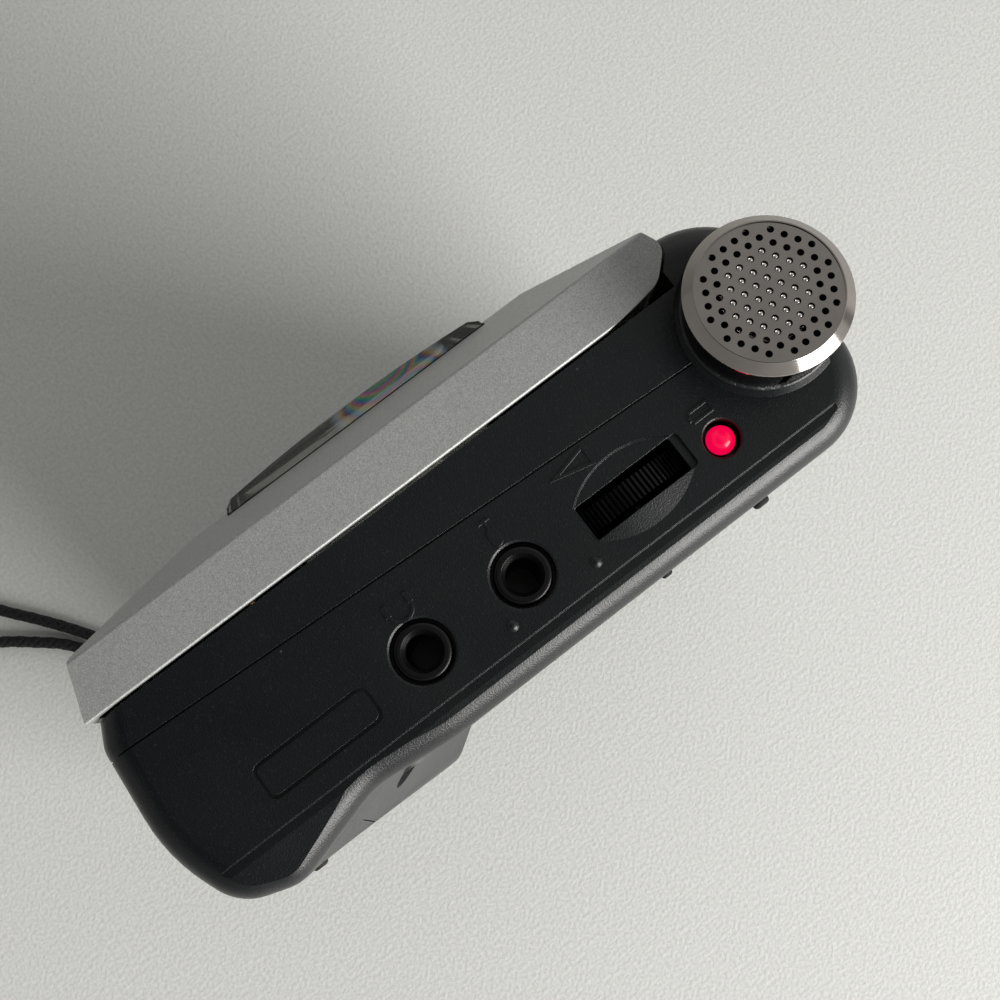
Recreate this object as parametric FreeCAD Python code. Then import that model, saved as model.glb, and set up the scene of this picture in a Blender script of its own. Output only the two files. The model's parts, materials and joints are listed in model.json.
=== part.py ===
import FreeCAD, Part
import math
import os

from FreeCAD import Placement, Rotation, Vector

# Handheld cassette recorder, standing on its bottom end, in millimetres.
# X runs from the microphone end (-X) to the key side (+X).
# Y runs from the cassette lid (-Y) to the back (+Y). Z is up, and Z = 0 is the surface it stands on.

# Case
CASE_HEIGHT = 113.0
WALL = 1.8
EDGE_ROUND = 3.0
# corners of the case seen from above: x, y, corner radius
CASE_PLAN = [
    (-44.05, -13.55, 9.9),
    (38.0, -13.55, 3.6),
    (42.2, -5.5, 3.6),
    (43.35, 7.0, 20.0),
    (43.35, 14.8, 6.8),
    (-44.05, 14.8, 8.5),
]
# the same outline with the swelling over the cells
OUTLINE = CASE_PLAN[:4] + [
    (40.2, 15.2, 6.0),
    (33.9, 17.25, 5.0),
    (22.5, 14.0, 10.0),
    (13.0, 15.0, 30.0),
    (-44.05, 14.8, 8.5),
]
# The swelling widens towards mid height: its section at both ends and in the middle.
HUMP_END = [
    (12.0, 8.0, 0.0),
    (33.6, 8.0, 0.0),
    (33.6, 16.98, 0.0),
    (32.4, 16.72, 1.5),
    (15.5, 12.0, 0.0),
    (12.0, 12.0, 0.0),
]
HUMP_MIDDLE = [
    (5.0, 8.0, 0.0),
    (33.6, 8.0, 0.0),
    (33.6, 17.0, 0.0),
    (16.0, 17.55, 4.0),
    (7.4, 12.0, 0.0),
    (5.0, 12.0, 0.0),
]
HUMP_Z = (4.0, 62.0, 109.0)
HUMP_WALL = 0.95
HUMP_TIP_Y = 16.6
CELL_ROOM_TOP = 109.2
BACK_Y = 14.8
INNER_BACK_Y = BACK_Y - WALL
# The parting line between the two cabinets leans slightly across the top face.
PARTING_Y = -2.0
PARTING_SLOPE = -0.05
PARTING_GROOVE = 0.24
GROOVE_DEPTH = 0.45

# Cassette lid
LID_BOTTOM = 6.8
LID_TOP = 113.5
LID_WALL = 1.2
LID_REAR_Y = -8.4
LID_GAP = 0.35
CHIN_TOP = 5.4
LID_PLAN = [
    (-34.7, -12.2, 1.6),
    (-33.6, -14.8, 0.9),
    (-21.9, -19.8, 3.0),
    (23.6, -19.8, 3.0),
    (39.3, -15.1, 1.2),
    (41.6, LID_REAR_Y, 0.3),
    (-24.5, LID_REAR_Y, 10.0),
    (-31.8, -9.3, 3.0),
]
# lid seen from the side: y, z, corner radius
LID_SIDE = [
    (LID_REAR_Y, LID_TOP, 0.25),
    (-14.6, LID_TOP, 0.4),
    (-19.8, 99.2, 2.0),
    (-19.8, 17.0, 3.0),
    (-15.0, LID_BOTTOM, 0.8),
    (-12.6, LID_BOTTOM, 0.0),
    (LID_REAR_Y, 12.0, 0.0),
]
HINGE_Y = -10.5
HINGE_Z = 8.6
KNUCKLE_R = 1.8
# along X: ears on the case, and the lid's knuckles beside them
EARS = [(33.0, 36.0), (-29.4, -26.8)]
KNUCKLES = [(36.3, 40.0), (-32.7, -29.7)]
PINS = [(33.0, 39.0), (-32.2, -26.8)]
PIN_R = 0.9
RUNNING = 0.05

# Window in the lid
WINDOW_X0 = -16.4
WINDOW_X1 = 18.4
WINDOW_Z0 = 34.2
WINDOW_Z1 = 101.0
WINDOW_GAP = 0.2

# Cassette well: a compact cassette stands on its short end, tape edge towards the keys
CASSETTE_X0 = -31.8
CASSETTE_X1 = 32.0
CASSETTE_Z0 = 10.6
CASSETTE_LENGTH = 100.4
CASSETTE_MID_Z = CASSETTE_Z0 + CASSETTE_LENGTH / 2
WELL = (-33.4, 38.0, 8.2, 111.2)
SPINDLE_X = -3.0
SPINDLE_SPACING = 42.5
TAKEUP_Z = CASSETTE_MID_Z + SPINDLE_SPACING / 2
SUPPLY_Z = CASSETTE_MID_Z - SPINDLE_SPACING / 2

# Tape deck
DECK_FRONT_Y = -3.9
DECK_BACK_Y = -3.1
CAPSTAN_X = 24.4
CAPSTAN_Z = 81.8
CAPSTAN_R = 1.0
FLYWHEEL_R = 11.0
ROLLER_R = 4.5
ROLLER_X = 33.0
MOTOR_X = -27.0
MOTOR_Z = 20.0
MOTOR_R = 11.0
BELT_Y = (-1.55, -0.75)
BELT_SIZE = 0.8
BELT_GAP = 0.25
FLYWHEEL_GROOVE_R = 10.6
PULLEY_GROOVE_R = 2.6
TAKEUP_WHEEL_R = 7.0
CAPSTAN_WHEEL_R = 5.0
POSTS = [(-39.3, 7.5), (20.5, 9.5), (-39.3, 86.0), (20.5, 101.5)]

# Microphone on the corner
MIC_X = -38.3
MIC_Y = -0.6
MIC_BOSS_R = 8.5
MIC_WELL_R = 7.0
MIC_WELL_Z = 106.0
MIC_COLLAR_R = 8.05
MIC_COLLAR_Z = 119.2
MIC_RIM_R = 8.6
MIC_DISC_R = 7.4
MIC_TOP_Z = 121.5
MIC_HOLE_R = 0.37
MIC_HOLE_PITCH = 1.44
# the head leans out over the corner about this point; rows of holes are turned by MIC_TURN
MIC_PIVOT = (-38.0, -0.6, 119.5)
MIC_LEAN = 8.9
MIC_LEAN_AXIS = (0.885, -0.466, 0)
MIC_TURN = 0.5

# Controls on the top end
JACKS = {"ear_jack": (10.36, 6.15), "mic_jack": (-2.38, 6.15)}
JACK_HOLE_R = 3.4
JACK_TOP_Z = 112.75
PLUG_BORE_R = 1.8
LAMP_X = -27.1
LAMP_Y = 7.4
LAMP_HOLE_R = 2.0
LAMP_R = 1.55
WHEEL_X = -16.7
WHEEL_Y = 6.0
WHEEL_R = 8.7
WHEEL_Z = 103.5
WHEEL_WIDTH = 2.5
WHEEL_SLOT = (12.1, 4.1)
DISH_LENGTH = 16.4
DISH_WIDTH = 8.6
DISH_DEPTH = 0.3
DISH_WALL = 0.12
GUARD_HEIGHT = 0.62
GUARD_SLOPE = 0.275
BADGE_X = 24.2
BADGE_Y = 7.1
BADGE_SIZE = (14.1, 4.2)
PIPS = [(-9.05, 9.6), (1.6, 9.6)]

# the step that bounds the top face towards the back, and its extent along X
SHOULDER_Y = 11.5
SHOULDER_X = (-38.5, 39.5)

# Speaker, boards and screws
SPEAKER_X = -12.0
SPEAKER_Z = 66.0
SPEAKER_R = 18.0
SCREWS = [(-39.0, 60.0), (20.0, 24.0), (19.5, 91.5), (-36.5, 101.0)]
BOARD_BOSSES = [(-34.0, 37.0), (22.0, 40.0), (22.0, 88.0)]
BOARD_Y = (3.4, 4.6)
JACK_BOARD_Y = (10.2, 11.2)
# on the main board: x, z, radius, height
CAPACITORS = [
    (12.0, 50.0, 2.5, 6.0),
    (17.5, 60.0, 2.0, 5.0),
    (12.5, 68.0, 2.5, 6.5),
    (18.0, 76.0, 2.0, 5.0),
    (-36.0, 50.0, 2.5, 5.5),
    (-36.0, 72.0, 2.0, 5.0),
]

# Keys on the +X side
KEY_NAMES = ["pause_key", "stop_eject_key", "cue_key", "review_key", "play_key", "record_key"]
KEY_PITCH = 12.4
KEY_LENGTH = 11.6
KEY_FIRST_Z = 26.5
KEY_Y = (-4.4, 0.1)
BEZEL_Y = (-5.0, 4.8)
BEZEL_Z = (17.0, 98.0)
BEZEL_INNER_X = 40.2

# Two cells in line, in the hump
CELL_X = 33.6
CELL_Y = 8.45
CELL_R = 7.25
CELL_LENGTH = 50.2
CELL_BOTTOM = 7.0
DOOR_X = (26.45, 41.15)
DOOR_Z = (14.0, 100.0)
DOOR_GAP = 0.15
# rubber feet on the back: x, z, and the y of the surface that carries them
FEET = [
    (-28.7, 100.0, BACK_Y),
    (-27.2, 9.0, BACK_Y),
    (32.6, 102.5, HUMP_TIP_Y),
    (32.6, 9.0, HUMP_TIP_Y),
]

# Wrist strap: a braided cord looped round a bar in a pocket low on the +X side
STRAP_BAR_X = 41.2
STRAP_BAR_Y = 0.1
STRAP_BAR_R = 0.8
STRAP_Z = 4.2
CORD_D = 2.0
EYE_R = 1.9
POCKET_X = 38.0
POCKET_Y = (-3.0, 3.2)
POCKET_Z = (2.4, 6.2)
LIE_Z = 1.05
# inner strand from the bar to the coil, and outer strand from the coil back to the bar: x, y, z
STRAND_OUT = [
    (STRAP_BAR_X, STRAP_BAR_Y - EYE_R, STRAP_Z),
    (46.2, STRAP_BAR_Y - EYE_R, STRAP_Z),
    (50.2, -5.0, 3.2),
    (51.6, -11.0, 2.0),
    (51.4, -17.5, 1.2),
    (51.2, -24.5, LIE_Z),
    (52.9, -31.6, LIE_Z),
    (57.0, -38.2, LIE_Z),
    (61.4, -44.0, LIE_Z),
    (65.2, -48.5, LIE_Z),
    (68.9, -54.1, LIE_Z),
]
STRAND_BACK = [
    (74.4, -47.5, 1.3),
    (68.2, -44.4, LIE_Z),
    (63.8, -40.8, LIE_Z),
    (59.6, -37.3, LIE_Z),
    (57.0, -33.2, LIE_Z),
    (54.9, -27.5, LIE_Z),
    (54.1, -21.0, LIE_Z),
    (54.9, -14.2, 1.2),
    (54.8, -7.4, 2.0),
    (52.4, -1.4, 3.2),
    (47.2, STRAP_BAR_Y + EYE_R, STRAP_Z),
    (STRAP_BAR_X, STRAP_BAR_Y + EYE_R, STRAP_Z),
]
COIL_CENTRE = (83.8, -62.5)
COIL_R = 11.5
COIL_STEP = 0.7
COIL_ARCS = 4
COIL_ARC_DEG = 97.4
COIL_START_DEG = -74.0
COIL_Z = (1.45, 4.0)
COIL_LEAD = 6.0


def roundedFace(corners):
    # flat face in the XY plane from corners of x, y, corner radius
    marks = []
    count = len(corners)
    for i, (x, y, r) in enumerate(corners):
        here = Vector(x, y, 0)
        back = Vector(corners[i - 1][0], corners[i - 1][1], 0) - here
        ahead = Vector(corners[(i + 1) % count][0], corners[(i + 1) % count][1], 0) - here
        back.normalize()
        ahead.normalize()
        if r <= 0:
            marks.append((here, None, here))
            continue
        half = back.getAngle(ahead) / 2
        reach = r / math.tan(half)
        inward = back + ahead
        inward.normalize()
        middle = here + inward * (r / math.sin(half) - r)
        marks.append((here + back * reach, middle, here + ahead * reach))
    edges = []
    for i, (start, middle, end) in enumerate(marks):
        if middle is not None:
            edges.append(Part.Arc(start, middle, end).toShape())
        following = marks[(i + 1) % count][0]
        if (following - end).Length > 1e-5:
            edges.append(Part.makeLine(end, following))
    return Part.Face(Part.Wire(edges))


def inset(corners, t):
    # the same outline moved inwards by t, or outwards where t is negative
    count = len(corners)
    area = 0.0
    for i in range(count):
        x0, y0 = corners[i][:2]
        x1, y1 = corners[(i + 1) % count][:2]
        area += x0 * y1 - x1 * y0
    side = 1.0 if area > 0 else -1.0
    lines = []
    for i in range(count):
        x0, y0 = corners[i][:2]
        x1, y1 = corners[(i + 1) % count][:2]
        length = math.hypot(x1 - x0, y1 - y0)
        nx = -(y1 - y0) / length * side
        ny = (x1 - x0) / length * side
        lines.append((x0 + nx * t, y0 + ny * t, x1 - x0, y1 - y0))
    moved = []
    for i in range(count):
        ax, ay, adx, ady = lines[i - 1]
        bx, by, bdx, bdy = lines[i]
        cross = adx * bdy - ady * bdx
        along = ((bx - ax) * bdy - (by - ay) * bdx) / cross
        r = corners[i][2]
        if r > 0:
            r = max(r - t, 0.0) if cross * side > 0 else r + t
        moved.append((ax + adx * along, ay + ady * along, r))
    return moved


def prism(corners, z0, z1):
    # upright prism of an outline in plan
    face = roundedFace(corners)
    face.translate(Vector(0, 0, z0))
    return face.extrude(Vector(0, 0, z1 - z0))


def sidePrism(corners, x0, x1):
    # prism along X of an outline of y, z, corner radius
    face = roundedFace(corners)
    face.Placement = Placement(Vector(x0, 0, 0), Rotation(Vector(1, 1, 1), 120))
    return face.extrude(Vector(x1 - x0, 0, 0))


def frontPrism(corners, y0, y1):
    # prism along Y of an outline of x, z, corner radius
    face = roundedFace(corners)
    face.Placement = Placement(Vector(0, y0, 0), Rotation(Vector(1, 0, 0), 90))
    return face.extrude(Vector(0, y1 - y0, 0))


def block(x0, x1, y0, y1, z0, z1):
    return Part.makeBox(x1 - x0, y1 - y0, z1 - z0, Vector(x0, y0, z0))


def rodX(r, y, z, x0, x1):
    return Part.makeCylinder(r, x1 - x0, Vector(x0, y, z), Vector(1, 0, 0))


def rodY(r, x, z, y0, y1):
    return Part.makeCylinder(r, y1 - y0, Vector(x, y0, z), Vector(0, 1, 0))


def rodZ(r, x, y, z0, z1):
    return Part.makeCylinder(r, z1 - z0, Vector(x, y, z0), Vector(0, 0, 1))


def turned(profile):
    # solid of revolution about Z from corners of radius, height, corner radius
    face = roundedFace(profile)
    face.rotate(Vector(0, 0, 0), Vector(1, 0, 0), 90)
    return face.revolve(Vector(0, 0, 0), Vector(0, 0, 1), 360)


def turnedZ(profile, x, y):
    solid = turned(profile)
    solid.translate(Vector(x, y, 0))
    return solid


def turnedY(profile, x, z):
    # the profile's heights are along Y
    solid = turned(profile)
    solid.rotate(Vector(0, 0, 0), Vector(1, 0, 0), -90)
    solid.translate(Vector(x, 0, z))
    return solid


def join(first, *others):
    return first.fuse(list(others)).removeSplitter()


def minus(first, *others):
    return first.cut(list(others))


def save(name, shape):
    if isinstance(shape, list):
        shape = Part.makeCompound(shape)
    bad = "" if shape.isValid() else "  NOT VALID"
    print(f"{name}: {len(shape.Solids)} solid(s), {shape.Volume:.1f} mm3{bad}")
    shape.exportStep(f"parts/{name}.step")


def partingAt(x):
    return PARTING_Y + PARTING_SLOPE * x


def halfSpace(rear):
    # everything behind the parting line, or in front of it
    far = 60.0
    edge = far if rear else -far
    corners = [
        (-far, partingAt(-far), 0),
        (far, partingAt(far), 0),
        (far, edge, 0),
        (-far, edge, 0),
    ]
    return prism(corners, -5, 140)


def partingGroove():
    # narrow slot along the parting line, cut into both cabinets from outside
    far = 60.0
    half = PARTING_GROOVE / 2
    corners = [
        (-far, partingAt(-far) - half, 0),
        (far, partingAt(far) - half, 0),
        (far, partingAt(far) + half, 0),
        (-far, partingAt(-far) + half, 0),
    ]
    slab = prism(corners, -5, 140)
    kept = prism(inset(CASE_PLAN, GROOVE_DEPTH), GROOVE_DEPTH, CASE_HEIGHT - GROOVE_DEPTH)
    return slab.cut(kept)


def roundEnds(solid, z0, z1, r, picked=None):
    # rounds the edges that lie in the two end planes
    edges = []
    for edge in solid.Edges:
        zs = [v.Point.z for v in edge.Vertexes]
        flat = all(abs(z - z0) < 1e-4 for z in zs) or all(abs(z - z1) < 1e-4 for z in zs)
        if flat and (picked is None or picked(edge)):
            edges.append(edge)
    return solid.makeFillet(r, edges)


def swelling(t):
    # ruled between its end and middle sections, moved inwards by t
    wires = []
    for corners, z in zip((HUMP_END, HUMP_MIDDLE, HUMP_END), HUMP_Z):
        outline = roundedFace(inset(corners, t)).OuterWire
        outline.translate(Vector(0, 0, z))
        wires.append(outline)
    lower = Part.makeLoft(wires[:2], True, True)
    upper = Part.makeLoft(wires[1:], True, True)
    return lower.fuse(upper)


def caseOuter():
    case = roundEnds(prism(OUTLINE, 0, CASE_HEIGHT), 0, CASE_HEIGHT, EDGE_ROUND)
    # shoulder behind the top face: a fine step, then a fall towards the back
    top = CASE_HEIGHT
    shoulder = [
        (SHOULDER_Y, top, 0),
        (SHOULDER_Y + 0.12, top - 0.22, 0),
        (SHOULDER_Y + 1.0, top - 0.14, 0),
        (SHOULDER_Y + 7.0, top - 1.0, 0),
        (SHOULDER_Y + 7.0, top + 1.5, 0),
        (SHOULDER_Y, top + 1.5, 0),
    ]
    case = case.cut(sidePrism(shoulder, SHOULDER_X[0], SHOULDER_X[1]))
    return case.fuse(swelling(0.0))


def humpRoom():
    # the hollow behind the swelling
    room = prism(inset(OUTLINE, HUMP_WALL), HUMP_Z[0] + 1.0, CELL_ROOM_TOP)
    room = room.common(block(22.0, 50.0, 10.0, 20.0, 0, CASE_HEIGHT))
    inner = swelling(HUMP_WALL).common(block(9.0, 34.0, 10.0, 20.0, HUMP_Z[0] + 1.0, HUMP_Z[2] - 1.0))
    return room.fuse(inner)


def caseCavity():
    return prism(inset(CASE_PLAN, WALL), WALL, CASE_HEIGHT - WALL)


def micBoss():
    return turnedZ(
        [(0, 93, 0), (5.0, 93, 1.0), (MIC_BOSS_R, 99.5, 2.0), (MIC_BOSS_R, 114.0, 0.5), (0, 114.0, 0)],
        MIC_X,
        MIC_Y,
    )


def bossFoot():
    # flared ring where the microphone boss rises from the flat of the top face
    top = CASE_HEIGHT
    wide = MIC_BOSS_R + 0.4
    ring = turnedZ([
        (7.6, top, 0),
        (wide, top, 0),
        (MIC_BOSS_R, top + 0.6, 0),
        (7.6, top + 0.6, 0),
    ], MIC_X, MIC_Y)
    return ring.common(prism(inset(OUTLINE, EDGE_ROUND), top - 1, top + 2))


def thumbRest():
    # shallow bow-shaped floor in front of the volume wheel, with a steep edge
    top = CASE_HEIGHT
    big = (DISH_LENGTH**2 + DISH_WIDTH**2) / (4 * DISH_WIDTH)
    axis = Vector(WHEEL_X, WHEEL_Y + big - DISH_WIDTH / 2, top - DISH_DEPTH)
    bow = Part.makeCone(big - DISH_WALL, big + DISH_WALL, DISH_DEPTH * 2, axis, Vector(0, 0, 1))
    edge = WHEEL_Y - WHEEL_SLOT[1] / 2
    return bow.common(block(WHEEL_X - 9, WHEEL_X + 9, edge - 4, edge + 0.05, top - 1, top + 1))


def wheelGuard():
    # low bow-shaped crest behind the volume wheel, falling away from it
    top = CASE_HEIGHT
    big = (DISH_LENGTH**2 + DISH_WIDTH**2) / (4 * DISH_WIDTH)
    buried = 0.2
    tall = 1.1
    axis = Vector(WHEEL_X, WHEEL_Y - big + DISH_WIDTH / 2, top - buried)
    foot = big + buried / GUARD_SLOPE
    bow = Part.makeCone(foot, foot - tall / GUARD_SLOPE, tall, axis, Vector(0, 0, 1))
    edge = WHEEL_Y + WHEEL_SLOT[1] / 2
    return bow.common(block(WHEEL_X - 9, WHEEL_X + 9, edge, edge + 4, top - buried, top + GUARD_HEIGHT))


def topReliefs(rear):
    # dish, slot, holes and badge groove in the top end
    top = CASE_HEIGHT
    up = Vector(0, 0, 1)
    rear = rear.fuse(wheelGuard())
    long, wide = WHEEL_SLOT
    x0 = WHEEL_X - long / 2
    x1 = WHEEL_X + long / 2
    y0 = WHEEL_Y - wide / 2
    y1 = WHEEL_Y + wide / 2
    slot = prism([(x0, y0, 0.3), (x1, y0, 0.3), (x1, y1, 0.3), (x0, y1, 0.3)], top - 4, top + 2)
    x0 -= 0.9
    x1 += 0.35
    frame = prism([(x0, y0, 0.5), (x1, y0, 0.5), (x1, y1, 0.5), (x0, y1, 0.5)], top - 0.55, top + 2)
    cuts = [thumbRest(), slot, frame, rodZ(LAMP_HOLE_R, LAMP_X, LAMP_Y, top - 4, top + 1)]
    lampMouth = Vector(LAMP_X, LAMP_Y, top - 0.15)
    cuts.append(Part.makeCone(LAMP_HOLE_R, LAMP_HOLE_R + 0.45, 0.45, lampMouth, up))
    for x, y in JACKS.values():
        cuts.append(rodZ(JACK_HOLE_R, x, y, top - 4, top + 1))
        cuts.append(Part.makeCone(JACK_HOLE_R, JACK_HOLE_R + 0.5, 0.5, Vector(x, y, top - 0.2), up))
    rear = minus(rear, *cuts)
    half = (BADGE_SIZE[0] / 2, BADGE_SIZE[1] / 2)
    badge = [
        (BADGE_X - half[0], BADGE_Y - half[1], 1.1),
        (BADGE_X + half[0], BADGE_Y - half[1], 1.1),
        (BADGE_X + half[0], BADGE_Y + half[1], 1.1),
        (BADGE_X - half[0], BADGE_Y + half[1], 1.1),
    ]
    groove = prism(badge, top - 0.35, top + 1).cut(prism(inset(badge, 0.42), top - 1, top + 2))
    rear = rear.cut(groove)
    pips = []
    for x, y in PIPS:
        pips.append(Part.makeSphere(0.75, Vector(x, y, top - 0.4)))
    return rear.fuse(pips)


def topMarks():
    # small raised pictograms: volume wedge, headphones, microphone, cell
    z0 = CASE_HEIGHT - 0.2
    z1 = CASE_HEIGHT + 0.14
    marks = []
    wedge = [(-10.2, 0.4, 0), (-15.2, 1.6, 0), (-15.2, -0.8, 0)]
    marks.append(prism(wedge, z0, z1).cut(prism(inset(wedge, 0.3), z0 - 1, z1 + 1)))
    x, y = 9.65, 1.3
    band = rodZ(1.5, x, y, z0, z1).cut(rodZ(1.2, x, y, z0 - 1, z1 + 1))
    marks.append(band.cut(block(x - 2, x + 2, y - 3, y - 0.1, z0 - 1, z1 + 1)))
    for dx in (-1.35, 1.35):
        marks.append(block(x + dx - 0.32, x + dx + 0.32, y - 1.1, y + 0.1, z0, z1))
    x, y = -2.4, 0.9
    capsule = [
        (x - 0.6, y - 0.5, 0.58),
        (x + 0.6, y - 0.5, 0.58),
        (x + 0.6, y + 1.5, 0.58),
        (x - 0.6, y + 1.5, 0.58),
    ]
    marks.append(prism(capsule, z0, z1))
    marks.append(block(x - 0.13, x + 0.13, y - 1.4, y - 0.5, z0, z1))
    marks.append(block(x - 0.7, x + 0.7, y - 1.6, y - 1.36, z0, z1))
    x, y = -27.0, 3.9
    cell = [
        (x - 1.3, y - 0.7, 0.15),
        (x + 1.3, y - 0.7, 0.15),
        (x + 1.3, y + 0.7, 0.15),
        (x - 1.3, y + 0.7, 0.15),
    ]
    marks.append(prism(cell, z0, z1).cut(prism(inset(cell, 0.26), z0 - 1, z1 + 1)))
    marks.append(block(x + 1.3, x + 1.6, y - 0.3, y + 0.3, z0, z1))
    return marks


def speakerHoles():
    # sound holes in the back, on a triangular grid inside a circle
    pitch = 3.2
    holes = []
    for row in range(-5, 6):
        for column in range(-5, 6):
            x = pitch * (column + 0.5 * (row % 2))
            z = pitch * row * math.sqrt(3) / 2
            if math.hypot(x, z) < 14.2:
                holes.append(rodY(0.8, SPEAKER_X + x, SPEAKER_Z + z, INNER_BACK_Y - 1, BACK_Y + 1))
    return holes


def keyBezel():
    # insert in the +X side with a window for each key
    y0, y1 = BEZEL_Y
    outside = prism(inset(CASE_PLAN, 0.25), BEZEL_Z[0], BEZEL_Z[1])
    bezel = outside.common(block(BEZEL_INNER_X, 50, y0, y1, BEZEL_Z[0], BEZEL_Z[1]))
    windows = []
    for i in range(len(KEY_NAMES)):
        z = KEY_FIRST_Z + KEY_PITCH * i
        half = KEY_LENGTH / 2 + 0.2
        windows.append(block(30, 50, KEY_Y[0] - 0.2, KEY_Y[1] + 0.2, z - half, z + half))
    return minus(bezel, *windows)


def keySign(name, x0, x1, y, z):
    # raised transport sign on a key's outer face; z runs along the key
    def bar(dz, half=1.1, width=0.28):
        return block(x0, x1, y - half, y + half, z + dz - width, z + dz + width)

    def arrow(dz, way):
        corners = [
            (y - 1.1, z + dz - 0.8 * way, 0),
            (y + 1.1, z + dz - 0.8 * way, 0),
            (y, z + dz + 0.9 * way, 0),
        ]
        return sidePrism(corners, x0, x1)

    if name == "pause_key":
        return [bar(-0.6), bar(0.6)]
    if name == "stop_eject_key":
        return [block(x0, x1, y - 0.9, y + 0.9, z - 2.4, z - 0.6), arrow(1.2, 1), bar(2.6)]
    if name == "cue_key":
        return [arrow(-0.9, 1), arrow(0.9, 1)]
    if name == "review_key":
        return [arrow(-0.9, -1), arrow(0.9, -1)]
    if name == "play_key":
        return [arrow(0, 1)]
    return [rodX(1.0, y, z, x0, x1)]


def key(name, z):
    # cap with a crowned face, and a flange that keeps it behind the bezel
    y0, y1 = KEY_Y
    half = KEY_LENGTH / 2
    corners = [(y0, z - half, 0.6), (y1, z - half, 0.6), (y1, z + half, 0.6), (y0, z + half, 0.6)]
    cap = sidePrism(corners, 40.0, 44.6)
    radius = 20.0
    crown = Part.makeCylinder(radius, 2 * KEY_LENGTH, Vector(44.7 - radius, (y0 + y1) / 2, z - KEY_LENGTH))
    cap = cap.common(crown.fuse(block(36, 42, y0 - 1, y1 + 1, z - 10, z + 10)))
    flange = block(39.35, 40.15, y0 - 0.5, y1, z - half - 0.3, z + half + 0.3)
    middle = (y0 + y1) / 2
    return join(cap, flange, *keySign(name, 43.5, 44.85, middle, z))


def strapPocket():
    x0 = POCKET_X
    wall = 0.7
    outer = block(x0 - wall, 42.4, POCKET_Y[0] - wall, POCKET_Y[1] + wall, 1.0, POCKET_Z[1] + wall)
    inner = block(x0, 50, POCKET_Y[0], POCKET_Y[1], POCKET_Z[0], POCKET_Z[1])
    return outer, inner


def rearCabinet(outer, cavity, humpInner):
    rear = outer.common(halfSpace(True))
    rear = rear.cut(cavity)
    rear = rear.cut(humpInner)
    rear = rear.cut(rodZ(CELL_R + 0.2, CELL_X, CELL_Y, WALL, CELL_ROOM_TOP))
    rear = rear.cut(partingGroove())
    parts = [micBoss(), bossFoot()]
    for x, z in POSTS:
        parts.append(rodY(2.4, x, z, DECK_BACK_Y, 16.0).common(outer).cut(rodY(0.8, x, z, -5, 3)))
    for x, z in BOARD_BOSSES:
        parts.append(rodY(1.5, x, z, BOARD_Y[1], 18.0).common(outer))
    for x, z in SCREWS:
        parts.append(rodY(2.4, x, z, 9.4, INNER_BACK_Y + 0.5))
        # cup round the sunk head
        parts.append(rodY(3.6, x, z, INNER_BACK_Y - 0.4, 18.0).common(outer))
    pocket, mouth = strapPocket()
    parts.append(pocket.common(outer))
    rear = rear.cut(block(DOOR_X[0], DOOR_X[1], 12.0, 20.0, DOOR_Z[0], DOOR_Z[1]))
    rear = join(rear, *parts)
    cuts = [mouth, rodZ(STRAP_BAR_R, STRAP_BAR_X, STRAP_BAR_Y, 1.4, 6.9)]
    cuts.append(block(BEZEL_INNER_X, 50, BEZEL_Y[0], BEZEL_Y[1], BEZEL_Z[0], BEZEL_Z[1]))
    cuts.append(rodZ(MIC_WELL_R, MIC_X, MIC_Y, MIC_WELL_Z, 120))
    cuts += feet()
    for x, z in SCREWS:
        cuts.append(rodY(2.8, x, z, BACK_Y - 0.9, BACK_Y + 4))
        cuts.append(rodY(1.0, x, z, 9.0, BACK_Y))
    cuts += speakerHoles()
    rear = minus(rear, *cuts)
    rear = topReliefs(rear)
    return join(rear, *topMarks())


def frontCabinet(outer, cavity):
    front = outer.common(halfSpace(False))
    # the case continues in front of the lid's rear rim only beside its -X end, and as a chin below it
    lidRoom = prism(inset(LID_PLAN, -LID_GAP), CHIN_TOP, CASE_HEIGHT + 5)
    sweep = block(-33.0, 60, -40, LID_REAR_Y + LID_GAP, CHIN_TOP, CASE_HEIGHT + 5)
    # hollow that the lid's lower edge turns in
    scoop = rodX(5.25, HINGE_Y, HINGE_Z, -36.0, 45.0).common(block(-36, 45, -20, -9.0, 0, 20))
    front = minus(front, lidRoom, sweep, scoop)
    face_y = -6.9
    kept = block(-36.6, 60, -60, face_y, -5, 140)
    front = front.cut(cavity.cut(kept))
    x0, x1, z0, z1 = WELL
    front = front.cut(block(x0, x1, -14, face_y + 1, z0, z1))
    front = front.cut(micBoss())
    front = front.cut(partingGroove())
    front = front.cut(block(BEZEL_INNER_X, 50, BEZEL_Y[0], BEZEL_Y[1], BEZEL_Z[0], BEZEL_Z[1]))
    pocket, mouth = strapPocket()
    front = front.cut(pocket)
    ears = []
    for ex0, ex1 in EARS:
        ears.append(rodX(KNUCKLE_R, HINGE_Y, HINGE_Z, ex0, ex1))
        ears.append(block(ex0, ex1, HINGE_Y, face_y - 0.3, HINGE_Z - KNUCKLE_R, z0))
    front = join(front, *ears)
    for px0, px1 in PINS:
        front = front.cut(rodX(PIN_R, HINGE_Y, HINGE_Z, px0, px1))
    return front


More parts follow.
